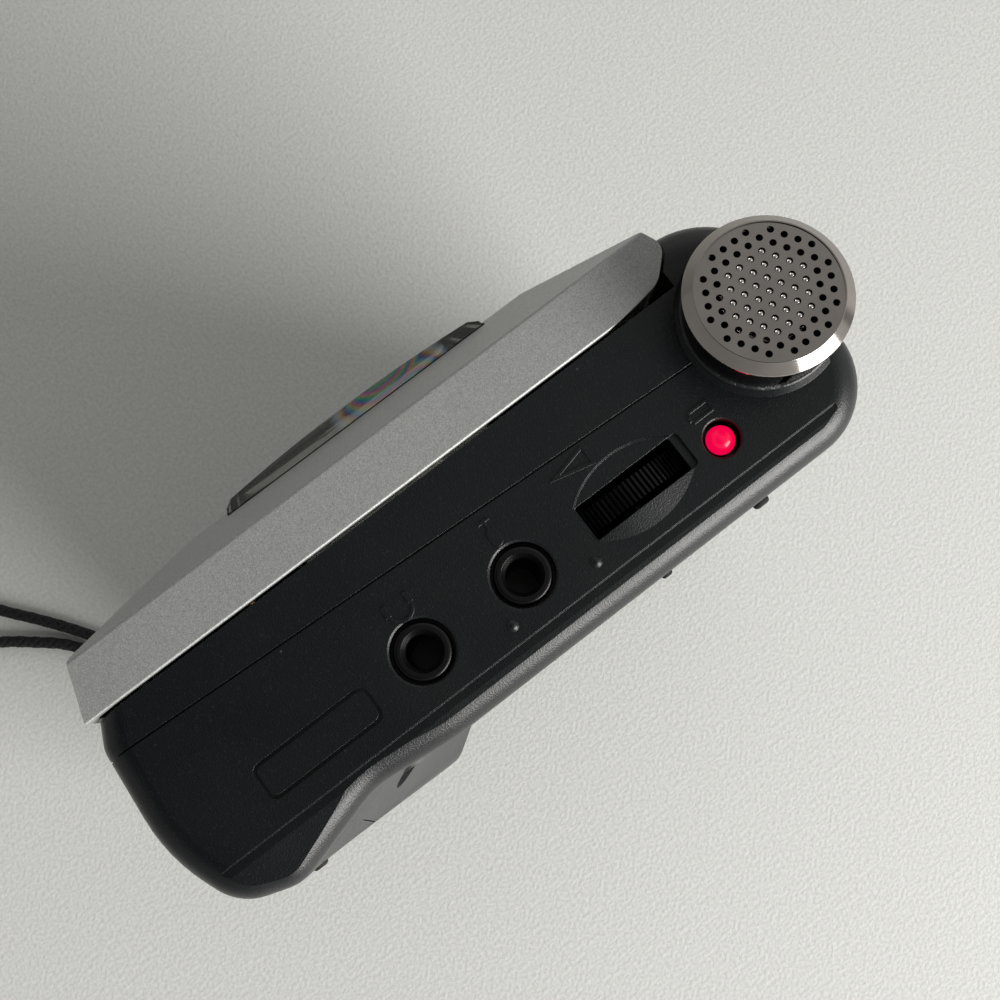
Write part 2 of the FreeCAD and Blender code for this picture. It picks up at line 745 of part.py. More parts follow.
def lidShell():
    outer = prism(LID_PLAN, 0, 130).common(sidePrism(LID_SIDE, -60, 60))
    roomPlan = [(-34.7, -5.0, 0)] + LID_PLAN[:6] + [(42.6, -5.0, 0)]
    roomPlan[6] = (41.6, LID_REAR_Y, 0)
    roomSide = [(-5.0, LID_TOP, 0)] + LID_SIDE[1:5] + [(-5.0, LID_BOTTOM, 0)]
    room = prism(inset(roomPlan, LID_WALL), 0, 130).common(sidePrism(inset(roomSide, LID_WALL), -60, 60))
    lid = outer.cut(room)
    gap = WINDOW_GAP
    opening = block(WINDOW_X0 - gap, WINDOW_X1 + gap, -30, -16, WINDOW_Z0 - gap, WINDOW_Z1 + gap)
    lid = lid.cut(opening)
    for ex0, ex1 in EARS:
        lid = lid.cut(rodX(KNUCKLE_R + 0.3, HINGE_Y, HINGE_Z, ex0 - 0.3, ex1 + 0.3))
    parts = []
    for kx0, kx1 in KNUCKLES:
        parts.append(rodX(KNUCKLE_R, HINGE_Y, HINGE_Z, kx0, kx1))
        parts.append(block(kx0, kx1, -13.4, HINGE_Y, LID_BOTTOM, HINGE_Z - 0.4))
    # catch that the latch holds, hanging from the top wall
    parts.append(block(34.6, 35.6, -10.2, -8.7, 109.2, LID_TOP - 0.6))
    parts.append(block(34.6, 35.6, -10.2, -5.2, 109.2, 110.6))
    parts.append(block(34.6, 35.6, -5.9, -5.2, 107.6, 109.4))
    lid = join(lid, *parts)
    for px0, px1 in PINS:
        lid = lid.cut(rodX(PIN_R + RUNNING, HINGE_Y, HINGE_Z, px0 - 0.2, px1 + 0.2))
    return lid


def hingePins():
    return [rodX(PIN_R, HINGE_Y, HINGE_Z, x0, x1) for x0, x1 in PINS]


def lidWindow():
    # crowned clear block, bevelled at both ends, with a flange behind the lid's front wall
    ends = [Vector(17.3, -20.7, 0), Vector(-15.3, -20.7, 0)]
    corners = [
        Vector(WINDOW_X0, -19.9, 0),
        Vector(WINDOW_X0, -17.4, 0),
        Vector(WINDOW_X1, -17.4, 0),
        Vector(WINDOW_X1, -19.9, 0),
    ]
    edges = [Part.Arc(ends[0], Vector(1.0, -21.5, 0), ends[1]).toShape()]
    chain = [ends[1]] + corners + [ends[0]]
    for a, b in zip(chain, chain[1:]):
        edges.append(Part.makeLine(a, b))
    plan = Part.Face(Part.Wire(edges)).extrude(Vector(0, 0, 130))
    side = sidePrism(
        [
            (-17.4, WINDOW_Z0, 0),
            (-17.4, WINDOW_Z1, 0),
            (-18.9, WINDOW_Z1, 0),
            (-21.6, WINDOW_Z1 - 1.7, 0.5),
            (-21.6, WINDOW_Z0 + 1.7, 0.5),
            (-18.9, WINDOW_Z0, 0),
        ],
        -40,
        40,
    )
    flange = block(WINDOW_X0 - 1.2, WINDOW_X1 + 1.2, -18.6, -17.4, WINDOW_Z0 - 1.2, 98.4)
    return join(plan.common(side), flange)


def cassetteHolder():
    # frame inside the lid that carries the cassette: front plate, floor, guide lips, pegs to the lid
    plate = frontPrism([
        (-29.0, 10.4, 1),
        (31.6, 10.4, 1),
        (31.6, 104.0, 1),
        (-29.0, 104.0, 1),
    ], -15.3, -14.5)
    hole = frontPrism([
        (-15.4, 37.0, 1.5),
        (17.4, 37.0, 1.5),
        (17.4, 98.0, 1.5),
        (-15.4, 98.0, 1.5),
    ], -16, -14)
    floor = block(-26.0, 33.0, -14.6, -5.9, 9.4, 10.5)
    lips = []
    for z0, z1 in ((10.4, 30.0), (95.0, 104.0)):
        lips.append(block(31.2, 33.0, -15.3, -14.5, z0, z1))
        lips.append(block(32.2, 33.0, -15.3, -6.3, z0, z1))
    # pegs that reach the lid's front wall
    pegs = []
    for x in (-20.0, 22.0):
        for z in (24.0, 96.5):
            pegs.append(rodY(1.2, x, z, -18.6, -15.0))
    return join(plate.cut(hole), floor, *lips, *pegs)


def deckPlate():
    outline = [
        (-41.5, 5.0, 1),
        (36.2, 5.0, 1),
        (36.2, 109.0, 1),
        (-28.6, 109.0, 1),
        (-28.6, 92.0, 0),
        (-41.5, 92.0, 1),
    ]
    deck = frontPrism(outline, DECK_FRONT_Y, DECK_BACK_Y)
    cuts = [rodY(1.5, SPINDLE_X, z, -6, 0) for z in (TAKEUP_Z, SUPPLY_Z)]
    cuts.append(rodY(2.0, CAPSTAN_X, CAPSTAN_Z, -6, 0))
    cuts += [rodY(0.8, x, z, -6, 0) for x, z in POSTS]
    deck = minus(deck, *cuts)
    idler_pin = rodY(PIN_R, idlerX(), idlerZ(), DECK_FRONT_Y, -1.95)
    return join(deck, idler_pin)


def idlerR():
    gap = math.hypot(CAPSTAN_X - SPINDLE_X, CAPSTAN_Z - TAKEUP_Z)
    return (gap - CAPSTAN_WHEEL_R - TAKEUP_WHEEL_R) / 2 - RUNNING


def idlerX():
    share = (TAKEUP_WHEEL_R + idlerR() + RUNNING) / math.hypot(CAPSTAN_X - SPINDLE_X, CAPSTAN_Z - TAKEUP_Z)
    return SPINDLE_X + (CAPSTAN_X - SPINDLE_X) * share


def idlerZ():
    share = (TAKEUP_WHEEL_R + idlerR() + RUNNING) / math.hypot(CAPSTAN_X - SPINDLE_X, CAPSTAN_Z - TAKEUP_Z)
    return TAKEUP_Z + (CAPSTAN_Z - TAKEUP_Z) * share


def screw(x, z, face_y, way, head_r, head, shank_r, shank):
    # cross-head screw along Y; way is the side its head faces
    y0 = min(face_y, face_y + way * head)
    body = rodY(head_r, x, z, y0, y0 + head)
    s0 = min(face_y, face_y - way * shank)
    body = join(body, rodY(shank_r, x, z, s0, s0 + shank))
    top = face_y + way * head
    depth = head * 0.6
    c0 = min(top, top - way * depth)
    cross = block(x - head_r * 0.6, x + head_r * 0.6, c0, c0 + depth, z - 0.25, z + 0.25)
    other = block(x - 0.25, x + 0.25, c0, c0 + depth, z - head_r * 0.6, z + head_r * 0.6)
    return minus(body, cross, other)


def spindle(z, wheel):
    # reel spindle: table, hub with six drive fins, shaft through the deck
    x = SPINDLE_X
    profile = [
        (0, -12.8, 0),
        (1.6, -12.8, 0.6),
        (2.9, -11.4, 0),
        (2.9, -5.4, 0),
        (8.0, -5.4, 0.3),
        (8.0, -4.2, 0.3),
        (1.45, -4.2, 0),
        (1.45, -2.1, 0),
        (0, -2.1, 0),
    ]
    solid = turnedY(profile, x, z)
    fins = []
    for i in range(6):
        fin = block(x + 2.0, x + 4.2, -11.2, -5.4, z - 0.35, z + 0.35)
        fin.rotate(Vector(x, 0, z), Vector(0, 1, 0), 60 * i)
        fins.append(fin)
    if wheel:
        fins.append(rodY(TAKEUP_WHEEL_R, x, z, -2.85, -2.1))
    else:
        fins.append(rodY(2.6, x, z, -2.85, -2.1))
    return join(solid, *fins)


def flywheel():
    grip = (BELT_Y[0] - 0.05, BELT_Y[1] + 0.05)
    profile = [
        (0, -13.0, 0),
        (CAPSTAN_R, -13.0, 0.2),
        (CAPSTAN_R, -2.85, 0),
        (CAPSTAN_WHEEL_R, -2.85, 0.1),
        (CAPSTAN_WHEEL_R, -1.85, 0),
        (FLYWHEEL_R, -1.85, 0),
        (FLYWHEEL_R, grip[0], 0),
        (FLYWHEEL_GROOVE_R, grip[0], 0),
        (FLYWHEEL_GROOVE_R, grip[1], 0),
        (FLYWHEEL_R, grip[1], 0),
        (FLYWHEEL_R, -0.45, 0),
        (0, -0.45, 0),
    ]
    wheel = turnedY(profile, CAPSTAN_X, CAPSTAN_Z)
    holes = []
    for i in range(6):
        a = math.radians(60 * i)
        holes.append(rodY(1.5, CAPSTAN_X + 7.6 * math.cos(a), CAPSTAN_Z + 7.6 * math.sin(a), -3, 0))
    return minus(wheel, *holes)


def motorPulley():
    grip = (BELT_Y[0] - 0.05, BELT_Y[1] + 0.05)
    profile = [
        (0, -2.2, 0),
        (3.4, -2.2, 0.2),
        (3.4, grip[0], 0),
        (PULLEY_GROOVE_R, grip[0], 0),
        (PULLEY_GROOVE_R, grip[1], 0),
        (3.4, grip[1], 0),
        (3.4, -0.25, 0),
        (0.75, -0.25, 0),
        (0.75, 1.5, 0),
        (0, 1.5, 0),
    ]
    return turnedY(profile, MOTOR_X, MOTOR_Z)


def beltOutline(r0, r1):
    # outline round two wheels: tangent lines and the outer arc of each
    dx = CAPSTAN_X - MOTOR_X
    dz = CAPSTAN_Z - MOTOR_Z
    along = math.atan2(dz, dx)
    lean = math.acos((r0 - r1) / math.hypot(dx, dz))

    def at(cx, cz, r, angle):
        return Vector(cx + r * math.cos(angle), 0, cz + r * math.sin(angle))

    a0 = at(MOTOR_X, MOTOR_Z, r0, along + lean)
    a1 = at(MOTOR_X, MOTOR_Z, r0, along - lean)
    b0 = at(CAPSTAN_X, CAPSTAN_Z, r1, along + lean)
    b1 = at(CAPSTAN_X, CAPSTAN_Z, r1, along - lean)
    edges = [
        Part.Arc(a0, at(MOTOR_X, MOTOR_Z, r0, along + math.pi), a1).toShape(),
        Part.makeLine(a1, b1),
        Part.Arc(b1, at(CAPSTAN_X, CAPSTAN_Z, r1, along), b0).toShape(),
        Part.makeLine(b0, a0),
    ]
    return Part.Face(Part.Wire(edges))


def driveBelt():
    outside = beltOutline(PULLEY_GROOVE_R + BELT_GAP + BELT_SIZE, FLYWHEEL_GROOVE_R + BELT_GAP + BELT_SIZE)
    inside = beltOutline(PULLEY_GROOVE_R + BELT_GAP, FLYWHEEL_GROOVE_R + BELT_GAP)
    belt = outside.cut(inside).extrude(Vector(0, BELT_Y[1] - BELT_Y[0], 0))
    belt.translate(Vector(0, BELT_Y[0], 0))
    return belt


def motorCan():
    profile = [
        (0.8, 0.0, 0),
        (3.2, 0.0, 0),
        (3.2, 0.5, 0),
        (MOTOR_R, 0.5, 1.2),
        (MOTOR_R, 12.4, 0.8),
        (0, 12.4, 0),
        (0, 2.2, 0),
        (0.8, 2.2, 0),
    ]
    return turnedY(profile, MOTOR_X, MOTOR_Z)


def motorStandoffs():
    feet = []
    for angle in (150, 250, 340):
        a = math.radians(angle)
        feet.append(rodY(1.3, MOTOR_X + 9.0 * math.cos(a), MOTOR_Z + 9.0 * math.sin(a), DECK_BACK_Y, 0.5))
    return feet


def capstanBearing():
    profile = [
        (1.03, -5.4, 0),
        (2.6, -5.4, 0.2),
        (2.6, DECK_FRONT_Y, 0),
        (2.0, DECK_FRONT_Y, 0),
        (2.0, -2.95, 0),
        (1.03, -2.95, 0),
    ]
    return turnedY(profile, CAPSTAN_X, CAPSTAN_Z)


def flywheelBracket():
    outline = [
        (29.6, 66.4, 1),
        (34.6, 66.4, 1),
        (34.6, 72.0, 2),
        (27.0, 98.6, 1),
        (19.4, 98.6, 1),
        (19.4, 93.0, 1),
    ]
    plate = frontPrism(outline, -0.25, 0.25)
    legs = [rodY(1.5, x, z, DECK_BACK_Y, -0.25) for x, z in ((31.9, 68.8), (21.9, 96.2))]
    return join(plate, *legs)


def headPlate():
    plate = frontPrism([
        (31.0, 36.0, 1),
        (36.7, 36.0, 1),
        (36.7, 90.0, 1),
        (31.0, 90.0, 1),
    ], -4.7, DECK_FRONT_Y - RUNNING)
    shaft = rodY(PIN_R, ROLLER_X, CAPSTAN_Z, -13.0, -4.5)
    collar = rodY(1.8, ROLLER_X, CAPSTAN_Z, -7.3, -4.5)
    return join(plate, shaft, collar)


def recordPlayHead():
    z = CASSETTE_MID_Z
    core = block(33.6, 36.6, -13.8, -4.7, z - 6.0, z + 6.0)
    nose = Part.makeCylinder(7.0, 9.1, Vector(39.3, -13.8, z), Vector(0, 1, 0))
    nose = nose.common(block(32.3, 34.0, -13.8, -4.7, z - 4.6, z + 4.6))
    return join(core, nose)


def eraseHead():
    z = CASSETTE_MID_Z - 16.2
    body = frontPrism([
        (32.4, z - 1.8, 0.6),
        (36.4, z - 3.2, 0.4),
        (36.4, z + 3.2, 0.4),
        (32.4, z + 1.8, 0.6),
    ], -12.6, -4.7)
    return body


def pinchRoller():
    profile = [
        (PIN_R + RUNNING, -12.4, 0),
        (ROLLER_R, -12.4, 0.3),
        (ROLLER_R, -7.4, 0.3),
        (PIN_R + RUNNING, -7.4, 0),
    ]
    return turnedY(profile, ROLLER_X, CAPSTAN_Z)


def takeupIdler():
    profile = [
        (PIN_R + RUNNING, -2.85, 0),
        (idlerR(), -2.85, 0.1),
        (idlerR(), -2.1, 0.1),
        (PIN_R + RUNNING, -2.1, 0),
    ]
    return turnedY(profile, idlerX(), idlerZ())


def ejectLatch():
    # spring bolt beside the lid's catch
    hook = block(30.2, 34.2, -6.4, -4.8, 104.0, 110.6)
    return join(hook, block(30.2, 32.0, -4.8, DECK_FRONT_Y - RUNNING, 104.0, 108.0))


def jack(x, y):
    body = block(x - 3.5, x + 3.5, y - 3.5, JACK_BOARD_Y[0], 97.6, 110.6)
    nose = turnedZ([(0, 110.6, 0), (3.1, 110.6, 0), (3.1, JACK_TOP_Z, 0.5), (0, JACK_TOP_Z, 0)], x, y)
    solid = join(body, nose)
    mouth = turnedZ([
        (0, 112.2, 0),
        (PLUG_BORE_R, 112.2, 0),
        (2.35, JACK_TOP_Z + 0.1, 0),
        (0, JACK_TOP_Z + 0.1, 0),
    ], x, y)
    return minus(solid, rodZ(PLUG_BORE_R, x, y, 98.6, 113), mouth)


def lamp():
    # domed lens with its flange, and two leads bent to the board
    profile = [
        (0, 108.6, 0),
        (1.95, 108.6, 0),
        (1.95, 109.8, 0),
        (LAMP_R, 109.8, 0),
        (LAMP_R, 112.9, LAMP_R * 0.97),
        (0, 112.9, 0),
    ]
    lens = turnedZ(profile, LAMP_X, LAMP_Y)
    leads = []
    for dx in (-0.9, 0.4):
        leads.append(block(LAMP_X + dx, LAMP_X + dx + 0.5, LAMP_Y - 0.25, LAMP_Y + 0.25, 104.0, 108.8))
        leads.append(block(LAMP_X + dx, LAMP_X + dx + 0.5, LAMP_Y - 0.25, JACK_BOARD_Y[0], 104.0, 104.5))
    return join(lens, *leads)


def volumeWheel():
    # knurled thumbwheel on a short shaft
    teeth = 96
    corners = []
    for i in range(teeth):
        for part, r in ((0.0, WHEEL_R), (0.42, WHEEL_R), (0.71, WHEEL_R - 0.32)):
            a = 2 * math.pi * (i + part) / teeth
            corners.append((WHEEL_X + r * math.cos(a), WHEEL_Z + r * math.sin(a), 0))
    wheel = frontPrism(corners, WHEEL_Y - WHEEL_WIDTH / 2, WHEEL_Y + WHEEL_WIDTH / 2)
    return join(wheel, rodY(1.5, WHEEL_X, WHEEL_Z, WHEEL_Y, 9.4))


def volumeControl():
    body = rodY(5.6, WHEEL_X, WHEEL_Z, 7.9, JACK_BOARD_Y[0])
    body = join(body, block(WHEEL_X - 4.0, WHEEL_X + 4.0, 8.6, JACK_BOARD_Y[0], WHEEL_Z - 7.2, WHEEL_Z))
    return body.cut(rodY(1.5 + RUNNING, WHEEL_X, WHEEL_Z, 7.0, 9.6))


def mainBoard():
    y0, y1 = BOARD_Y
    board = block(-41.0, 24.4, y0, y1, 34.0, 92.0)
    return minus(board, rodY(2.8, -39.3, 86.0, 0, 10))


def boardParts():
    y0, y1 = BOARD_Y
    parts = [block(-20.0, -8.0, y0 - 1.4, y0, 70.0, 78.0), block(2.0, 14.0, y0 - 1.2, y0, 52.0, 57.0)]
    for x, z, r, h in CAPACITORS:
        parts.append(rodY(r, x, z, y1, y1 + h))
    parts.append(block(-33.0, 6.0, y0 - 2.4, y0, 44.0, 49.0))
    return parts


def speakerFrame():
    profile = [
        (0, 5.0, 0),
        (7.5, 5.0, 0.3),
        (7.5, 8.4, 0),
        (16.8, 11.5, 0),
        (SPEAKER_R, 11.5, 0),
        (SPEAKER_R, INNER_BACK_Y, 0),
        (16.9, INNER_BACK_Y, 0),
        (16.9, 12.3, 0),
        (7.2, 9.2, 0),
        (0, 9.2, 0),
    ]
    return turnedY(profile, SPEAKER_X, SPEAKER_Z)


def speakerCone():
    profile = [
        (0, 10.2, 0),
        (4.0, 9.6, 0.5),
        (14.6, 12.0, 0.4),
        (16.9, 12.3, 0),
        (16.9, 12.7, 0),
        (14.6, 12.45, 0.4),
        (4.0, 10.05, 0.5),
        (0, 10.65, 0),
    ]
    return turnedY(profile, SPEAKER_X, SPEAKER_Z)


def batteryTray():
    walls = [
        block(25.3, 26.1, 0.35, INNER_BACK_Y, 3.0, 110.2),
        block(25.3, 37.0, 0.35, 1.05, 3.0, 110.2),
        block(25.3, 37.0, 0.35, INNER_BACK_Y, 3.0, 3.8),
        block(25.3, 37.0, 0.35, INNER_BACK_Y, 109.4, 110.2),
    ]
    return join(walls[0], *walls[1:])


def cells():
    solids = []
    for i in range(2):
        z = CELL_BOTTOM + CELL_LENGTH * i
        profile = [
            (0, z, 0),
            (CELL_R, z, 0.5),
            (CELL_R, z + CELL_LENGTH - 1.2, 0.5),
            (2.7, z + CELL_LENGTH - 1.2, 0),
            (2.7, z + CELL_LENGTH, 0.3),
            (0, z + CELL_LENGTH, 0),
        ]
        solids.append(turnedZ(profile, CELL_X, CELL_Y))
    return solids


def batteryContacts():
    low = join(block(28.0, 36.8, 4.0, 12.6, 3.8, 4.2), turnedZ([
        (0, 4.2, 0),
        (3.4, 4.2, 0),
        (2.2, 7.0, 0.4),
        (0, 7.0, 0),
    ], CELL_X, CELL_Y))
    top_z = CELL_BOTTOM + 2 * CELL_LENGTH
    high = join(block(28.0, 36.8, 4.0, 12.6, 109.0, 109.4), turnedZ([
        (0, top_z, 0),
        (2.0, top_z, 0.3),
        (3.2, 109.0, 0),
        (0, 109.0, 0),
    ], CELL_X, CELL_Y))
    return [low, high]


def batteryDoor(outer, humpInner):
    gap = DOOR_GAP
    window = block(DOOR_X[0] + gap, DOOR_X[1] - gap, 12.2, 20, DOOR_Z[0] + gap, DOOR_Z[1] - gap)
    door = outer.common(window)
    door = minus(door, humpInner, rodZ(CELL_R + 0.2, CELL_X, CELL_Y, 0, 120))
    # finger grooves near the free end
    grooves = []
    for i in range(5):
        grooves.append(block(28.5, 38.0, HUMP_TIP_Y, 18, 84.0 + 2.2 * i, 84.9 + 2.2 * i))
    door = minus(door, *grooves)
    return max(door.Solids, key=lambda s: s.Volume)


def leaned(shape):
    # heights of the head are measured square to the disc, from the pivot
    shape.rotate(Vector(*MIC_PIVOT), Vector(*MIC_LEAN_AXIS), MIC_LEAN)
    return shape


def micCollar():
    # upright ring cut off at the slope of the head
    x, y, _ = MIC_PIVOT
    z0 = 114.0
    ring = rodZ(MIC_COLLAR_R, MIC_X, MIC_Y, z0, 123)
    above = leaned(block(x - 12, x + 12, y - 12, y + 12, MIC_COLLAR_Z, 128))
    notch = block(MIC_X + 7.4, MIC_X + 9, MIC_Y - 0.45, MIC_Y + 0.45, z0 + 0.6, 123)
    notch.rotate(Vector(MIC_X, MIC_Y, 0), Vector(0, 0, 1), 66)
    return minus(ring, rodZ(MIC_WELL_R, MIC_X, MIC_Y, z0 - 1, 124), above, notch)


def micRim():
    profile = [
        (7.6, MIC_COLLAR_Z, 0),
        (8.1, MIC_COLLAR_Z, 0),
        (8.1, 119.9, 0.1),
        (MIC_RIM_R, 120.1, 0.1),
        (MIC_RIM_R, 120.4, 0.12),
        (7.55, MIC_TOP_Z, 0.1),
        (MIC_DISC_R, MIC_TOP_Z, 0),
        (MIC_DISC_R, 120.95, 0),
        (6.9, 120.95, 0),
        (6.9, 120.5, 0),
        (7.6, 119.8, 0),
    ]
    return leaned(turnedZ(profile, MIC_PIVOT[0], MIC_PIVOT[1]))


def micGrille():
    # flat disc with round holes on a triangular grid
    x0, y0, _ = MIC_PIVOT
    disc = rodZ(MIC_DISC_R, x0, y0, 120.95, 121.35)
    holes = []
    for row in range(-5, 6):
        for column in range(-8, 9):
            x = MIC_HOLE_PITCH * (column + 0.5 * row)
            y = MIC_HOLE_PITCH * row * math.sqrt(3) / 2
            if math.hypot(x, y) < 4.72 * MIC_HOLE_PITCH:
                hole = rodZ(MIC_HOLE_R, x0 + x, y0 + y, 120.5, 122)
                hole.rotate(Vector(x0, y0, 0), Vector(0, 0, 1), MIC_TURN)
                holes.append(hole)
    return leaned(minus(disc, *holes))


def micCapsule():
    profile = [(0, 112.2, 0), (4.8, 112.2, 0.2), (4.8, 119.9, 0.3), (0, 119.9, 0)]
    return leaned(turnedZ(profile, MIC_PIVOT[0], MIC_PIVOT[1]))


def micCushion():
    profile = [(0, 108.0, 0), (6.95, 108.0, 0.3), (6.95, 118.6, 0.4), (0, 118.6, 0)]
    bore = leaned(rodZ(4.85, MIC_PIVOT[0], MIC_PIVOT[1], 112.2, 122))
    return turnedZ(profile, MIC_X, MIC_Y).cut(bore)


def feet():
    solids = []
    for x, z, y in FEET:
        foot = turned([(0, -0.35, 0), (1.0, -0.35, 0), (1.0, 0.65, 0.5), (0, 0.65, 0)])
        foot.rotate(Vector(0, 0, 0), Vector(1, 0, 0), -90)
        foot.translate(Vector(x, y, z))
        solids.append(foot)
    return solids


def unit(a):
    return a * (1.0 / a.Length)


def tubePath(points, label):
    # straight runs joined by tangent arcs; prints the tightest radius
    pts = [Vector(*p) for p in points]
    edges = []
    last = pts[0]
    radii = []
    for i in range(1, len(pts) - 1):
        a = pts[i] - pts[i - 1]
        b = pts[i + 1] - pts[i]
        half = a.getAngle(b) / 2
        radius = 0.45 * min(a.Length, b.Length) / math.tan(half)
        reach = radius * math.tan(half)
        start = pts[i] - unit(a) * reach
        end = pts[i] + unit(b) * reach
        inward = unit(unit(b) - unit(a))
        middle = pts[i] + inward * (radius / math.cos(half) - radius)
        edges.append(Part.LineSegment(last, start).toShape())
        edges.append(Part.Arc(start, middle, end).toShape())
        radii.append(radius)
        last = end
    edges.append(Part.LineSegment(last, pts[-1]).toShape())
    print(f"{label}: radii from {min(radii):.1f} mm: " + ", ".join(f"{r:.1f}" for r in radii))
    return Part.Wire(edges)


def sweep(wire, label):
    start = wire.Edges[0].valueAt(wire.Edges[0].FirstParameter)
    heading = wire.Edges[0].tangentAt(wire.Edges[0].FirstParameter)
    ring = Part.Wire(Part.makeCircle(CORD_D / 2, start, heading))
    tube = wire.makePipeShell([ring], True, False)
    area = math.pi * CORD_D**2 / 4
    share = tube.Volume / (area * wire.Length)
    print(f"{label}: length {wire.Length:.1f} mm, volume / (section x length) {share:.4f}")
    return tube


def biarc(p0, t0, p1, t1):
    # two arcs that join two points with given headings
    v = p1 - p0
    t = t0 + t1
    k = 2 * (1 - t0.dot(t1))
    d = (-v.dot(t) + math.sqrt(v.dot(t) ** 2 + k * v.dot(v))) / k
    middle = (p0 + p1 + (t0 - t1) * d) * 0.5
    edges = []
    for a, ta, b in ((p0, t0, middle), (p1, t1 * -1, middle)):
        chord = b - a
        phi = ta.getAngle(chord)
        centre = (a + b) * 0.5
        out = unit(a + ta * d - centre)
        top = centre + out * (chord.Length / 2 * math.tan(phi / 2))
        edges.append(Part.Arc(a, top, b).toShape() if a is p0 else Part.Arc(b, top, a).toShape())
    return edges


def coilPath():
    # spirals in on the table, climbs a layer in half a turn, and spirals out again on top
    edges = []
    heading = math.radians(COIL_START_DEG)
    cx, cy = COIL_CENTRE
    z = COIL_Z[0]
    r = COIL_R

    def at(r, heading, z):
        return Vector(cx + r * math.sin(heading), cy - r * math.cos(heading), z)

    turn = math.radians(COIL_ARC_DEG)
    radii = [COIL_R - COIL_STEP * i for i in range(COIL_ARCS)]
    for layer in range(2):
        for i, r in enumerate(radii):
            if layer or i:
                # the centre moves so that the new radius starts where the last arc ended
                cx += (old - r) * math.sin(heading)
                cy -= (old - r) * math.cos(heading)
            old = r
            arc = Part.Arc(at(r, heading, z), at(r, heading + turn / 2, z), at(r, heading + turn, z))
            edges.append(arc.toShape())
            heading += turn
        if layer:
            break
        r = COIL_R - COIL_STEP * COIL_ARCS
        cx += (old - r) * math.sin(heading)
        cy -= (old - r) * math.cos(heading)
        rise = COIL_Z[1] - COIL_Z[0]
        slope = rise / (math.pi * r) * 1.5
        middle = heading + math.pi / 2
        t0 = Vector(math.cos(heading), math.sin(heading), 0)
        tm = unit(Vector(math.cos(middle), math.sin(middle), slope))
        t1 = t0 * -1
        p0 = at(r, heading, z)
        pm = at(r, middle, z + rise / 2)
        p1 = at(r, heading + math.pi, z + rise)
        edges += biarc(p0, t0, pm, tm)
        edges += biarc(pm, tm, p1, t1)
        heading += math.pi
        z += rise
        old = r
        radii.reverse()
    end = at(r, heading, z)
    return Part.Wire(edges), end, Vector(math.cos(heading), math.sin(heading), 0)


def leastGap(wire):
    # smallest distance between stretches of the coil that are more than half a turn apart
    points = wire.discretize(Distance=0.5)
    apart = int(math.pi * COIL_R / 0.5)
    least = 1e9
    for i in range(len(points)):
        for j in range(i + apart, len(points)):
            least = min(least, (points[i] - points[j]).Length)
    return least - CORD_D


def strapTie(centre):
    # flat band round the bundle of turns, on the side away from the object
    inner, outer = 6.9, 12.9
    low, high = 0.42, COIL_Z[1] + CORD_D / 2 + 0.1
    band = 0.4
    ring = frontPrism([
        (inner - band, low - band, 0.8),
        (outer + band, low - band, 0.8),
        (outer + band, high + band, 0.8),
        (inner - band, high + band, 0.8),
    ], -1.6, 1.6)
    hole = frontPrism([
        (inner, low, 0.4),
        (outer, low, 0.4),
        (outer, high, 0.4),
        (inner, high, 0.4),
    ], -3, 3)
    tie = ring.cut(hole)
    tie.rotate(Vector(0, 0, 0), Vector(0, 0, 1), -44)
    tie.translate(centre)
    return tie


def strapEye():
    # the turn of the cord behind the bar
    c = Vector(STRAP_BAR_X, STRAP_BAR_Y, STRAP_Z)
    arc = Part.Arc(c + Vector(0, EYE_R, 0), c + Vector(-EYE_R, 0, 0), c + Vector(0, -EYE_R, 0)).toShape()
    return sweep(Part.Wire([arc]), "strap_eye")


os.makedirs("parts", exist_ok=True)

outer = caseOuter()
cavity = caseCavity()
humpInner = humpRoom()

save("rear_cabinet", rearCabinet(outer, cavity, humpInner))
save("front_cabinet", frontCabinet(outer, cavity))
save("key_bezel", keyBezel())
save("lid_shell", lidShell())
save("lid_window", lidWindow())
save("cassette_holder", cassetteHolder())
save("holder_spring", block(-24.0, 28.0, -14.45, -14.2, 24.0, 29.0))
save("hinge_pins", hingePins())
for i, name in enumerate(KEY_NAMES):
    save(name, key(name, KEY_FIRST_Z + KEY_PITCH * i))
save("deck_plate", deckPlate())
save("deck_screws", [screw(x, z, DECK_FRONT_Y, -1, 1.9, 1.1, 0.8, 5.0) for x, z in POSTS])
save("cabinet_screws", [screw(x, z, BACK_Y - 0.9, 1, 2.4, 0.8, 1.0, 4.4) for x, z in SCREWS])
save("takeup_spindle", spindle(TAKEUP_Z, True))
save("supply_spindle", spindle(SUPPLY_Z, False))
save("takeup_idler", takeupIdler())
save("flywheel", flywheel())
save("flywheel_bracket", flywheelBracket())
save("capstan_bearing", capstanBearing())
save("motor_can", motorCan())
save("motor_standoffs", motorStandoffs())
save("motor_pulley", motorPulley())
save("drive_belt", driveBelt())
save("head_plate", headPlate())
save("record_play_head", recordPlayHead())
save("erase_head", eraseHead())
save("pinch_roller", pinchRoller())
save("eject_latch", ejectLatch())
for name, (x, y) in JACKS.items():
    save(name, jack(x, y))
save("jack_board", block(-29.0, 15.6, JACK_BOARD_Y[0], JACK_BOARD_Y[1], 96.0, 108.0))
save("lamp", lamp())
save("volume_wheel", volumeWheel())
save("volume_control", volumeControl())
save("main_board", mainBoard())
save("board_parts", boardParts())
save("speaker_frame", speakerFrame())
save("speaker_cone", speakerCone())
save("battery_tray", batteryTray())
save("cells", cells())
save("battery_contacts", batteryContacts())
save("battery_door", batteryDoor(outer, humpInner))
save("mic_collar", micCollar())
save("mic_rim", micRim())
save("mic_grille", micGrille())
save("mic_capsule", micCapsule())
save("mic_cushion", micCushion())
save("rubber_feet", feet())
save("strap_bar", rodZ(STRAP_BAR_R, STRAP_BAR_X, STRAP_BAR_Y, 1.4, 6.9))
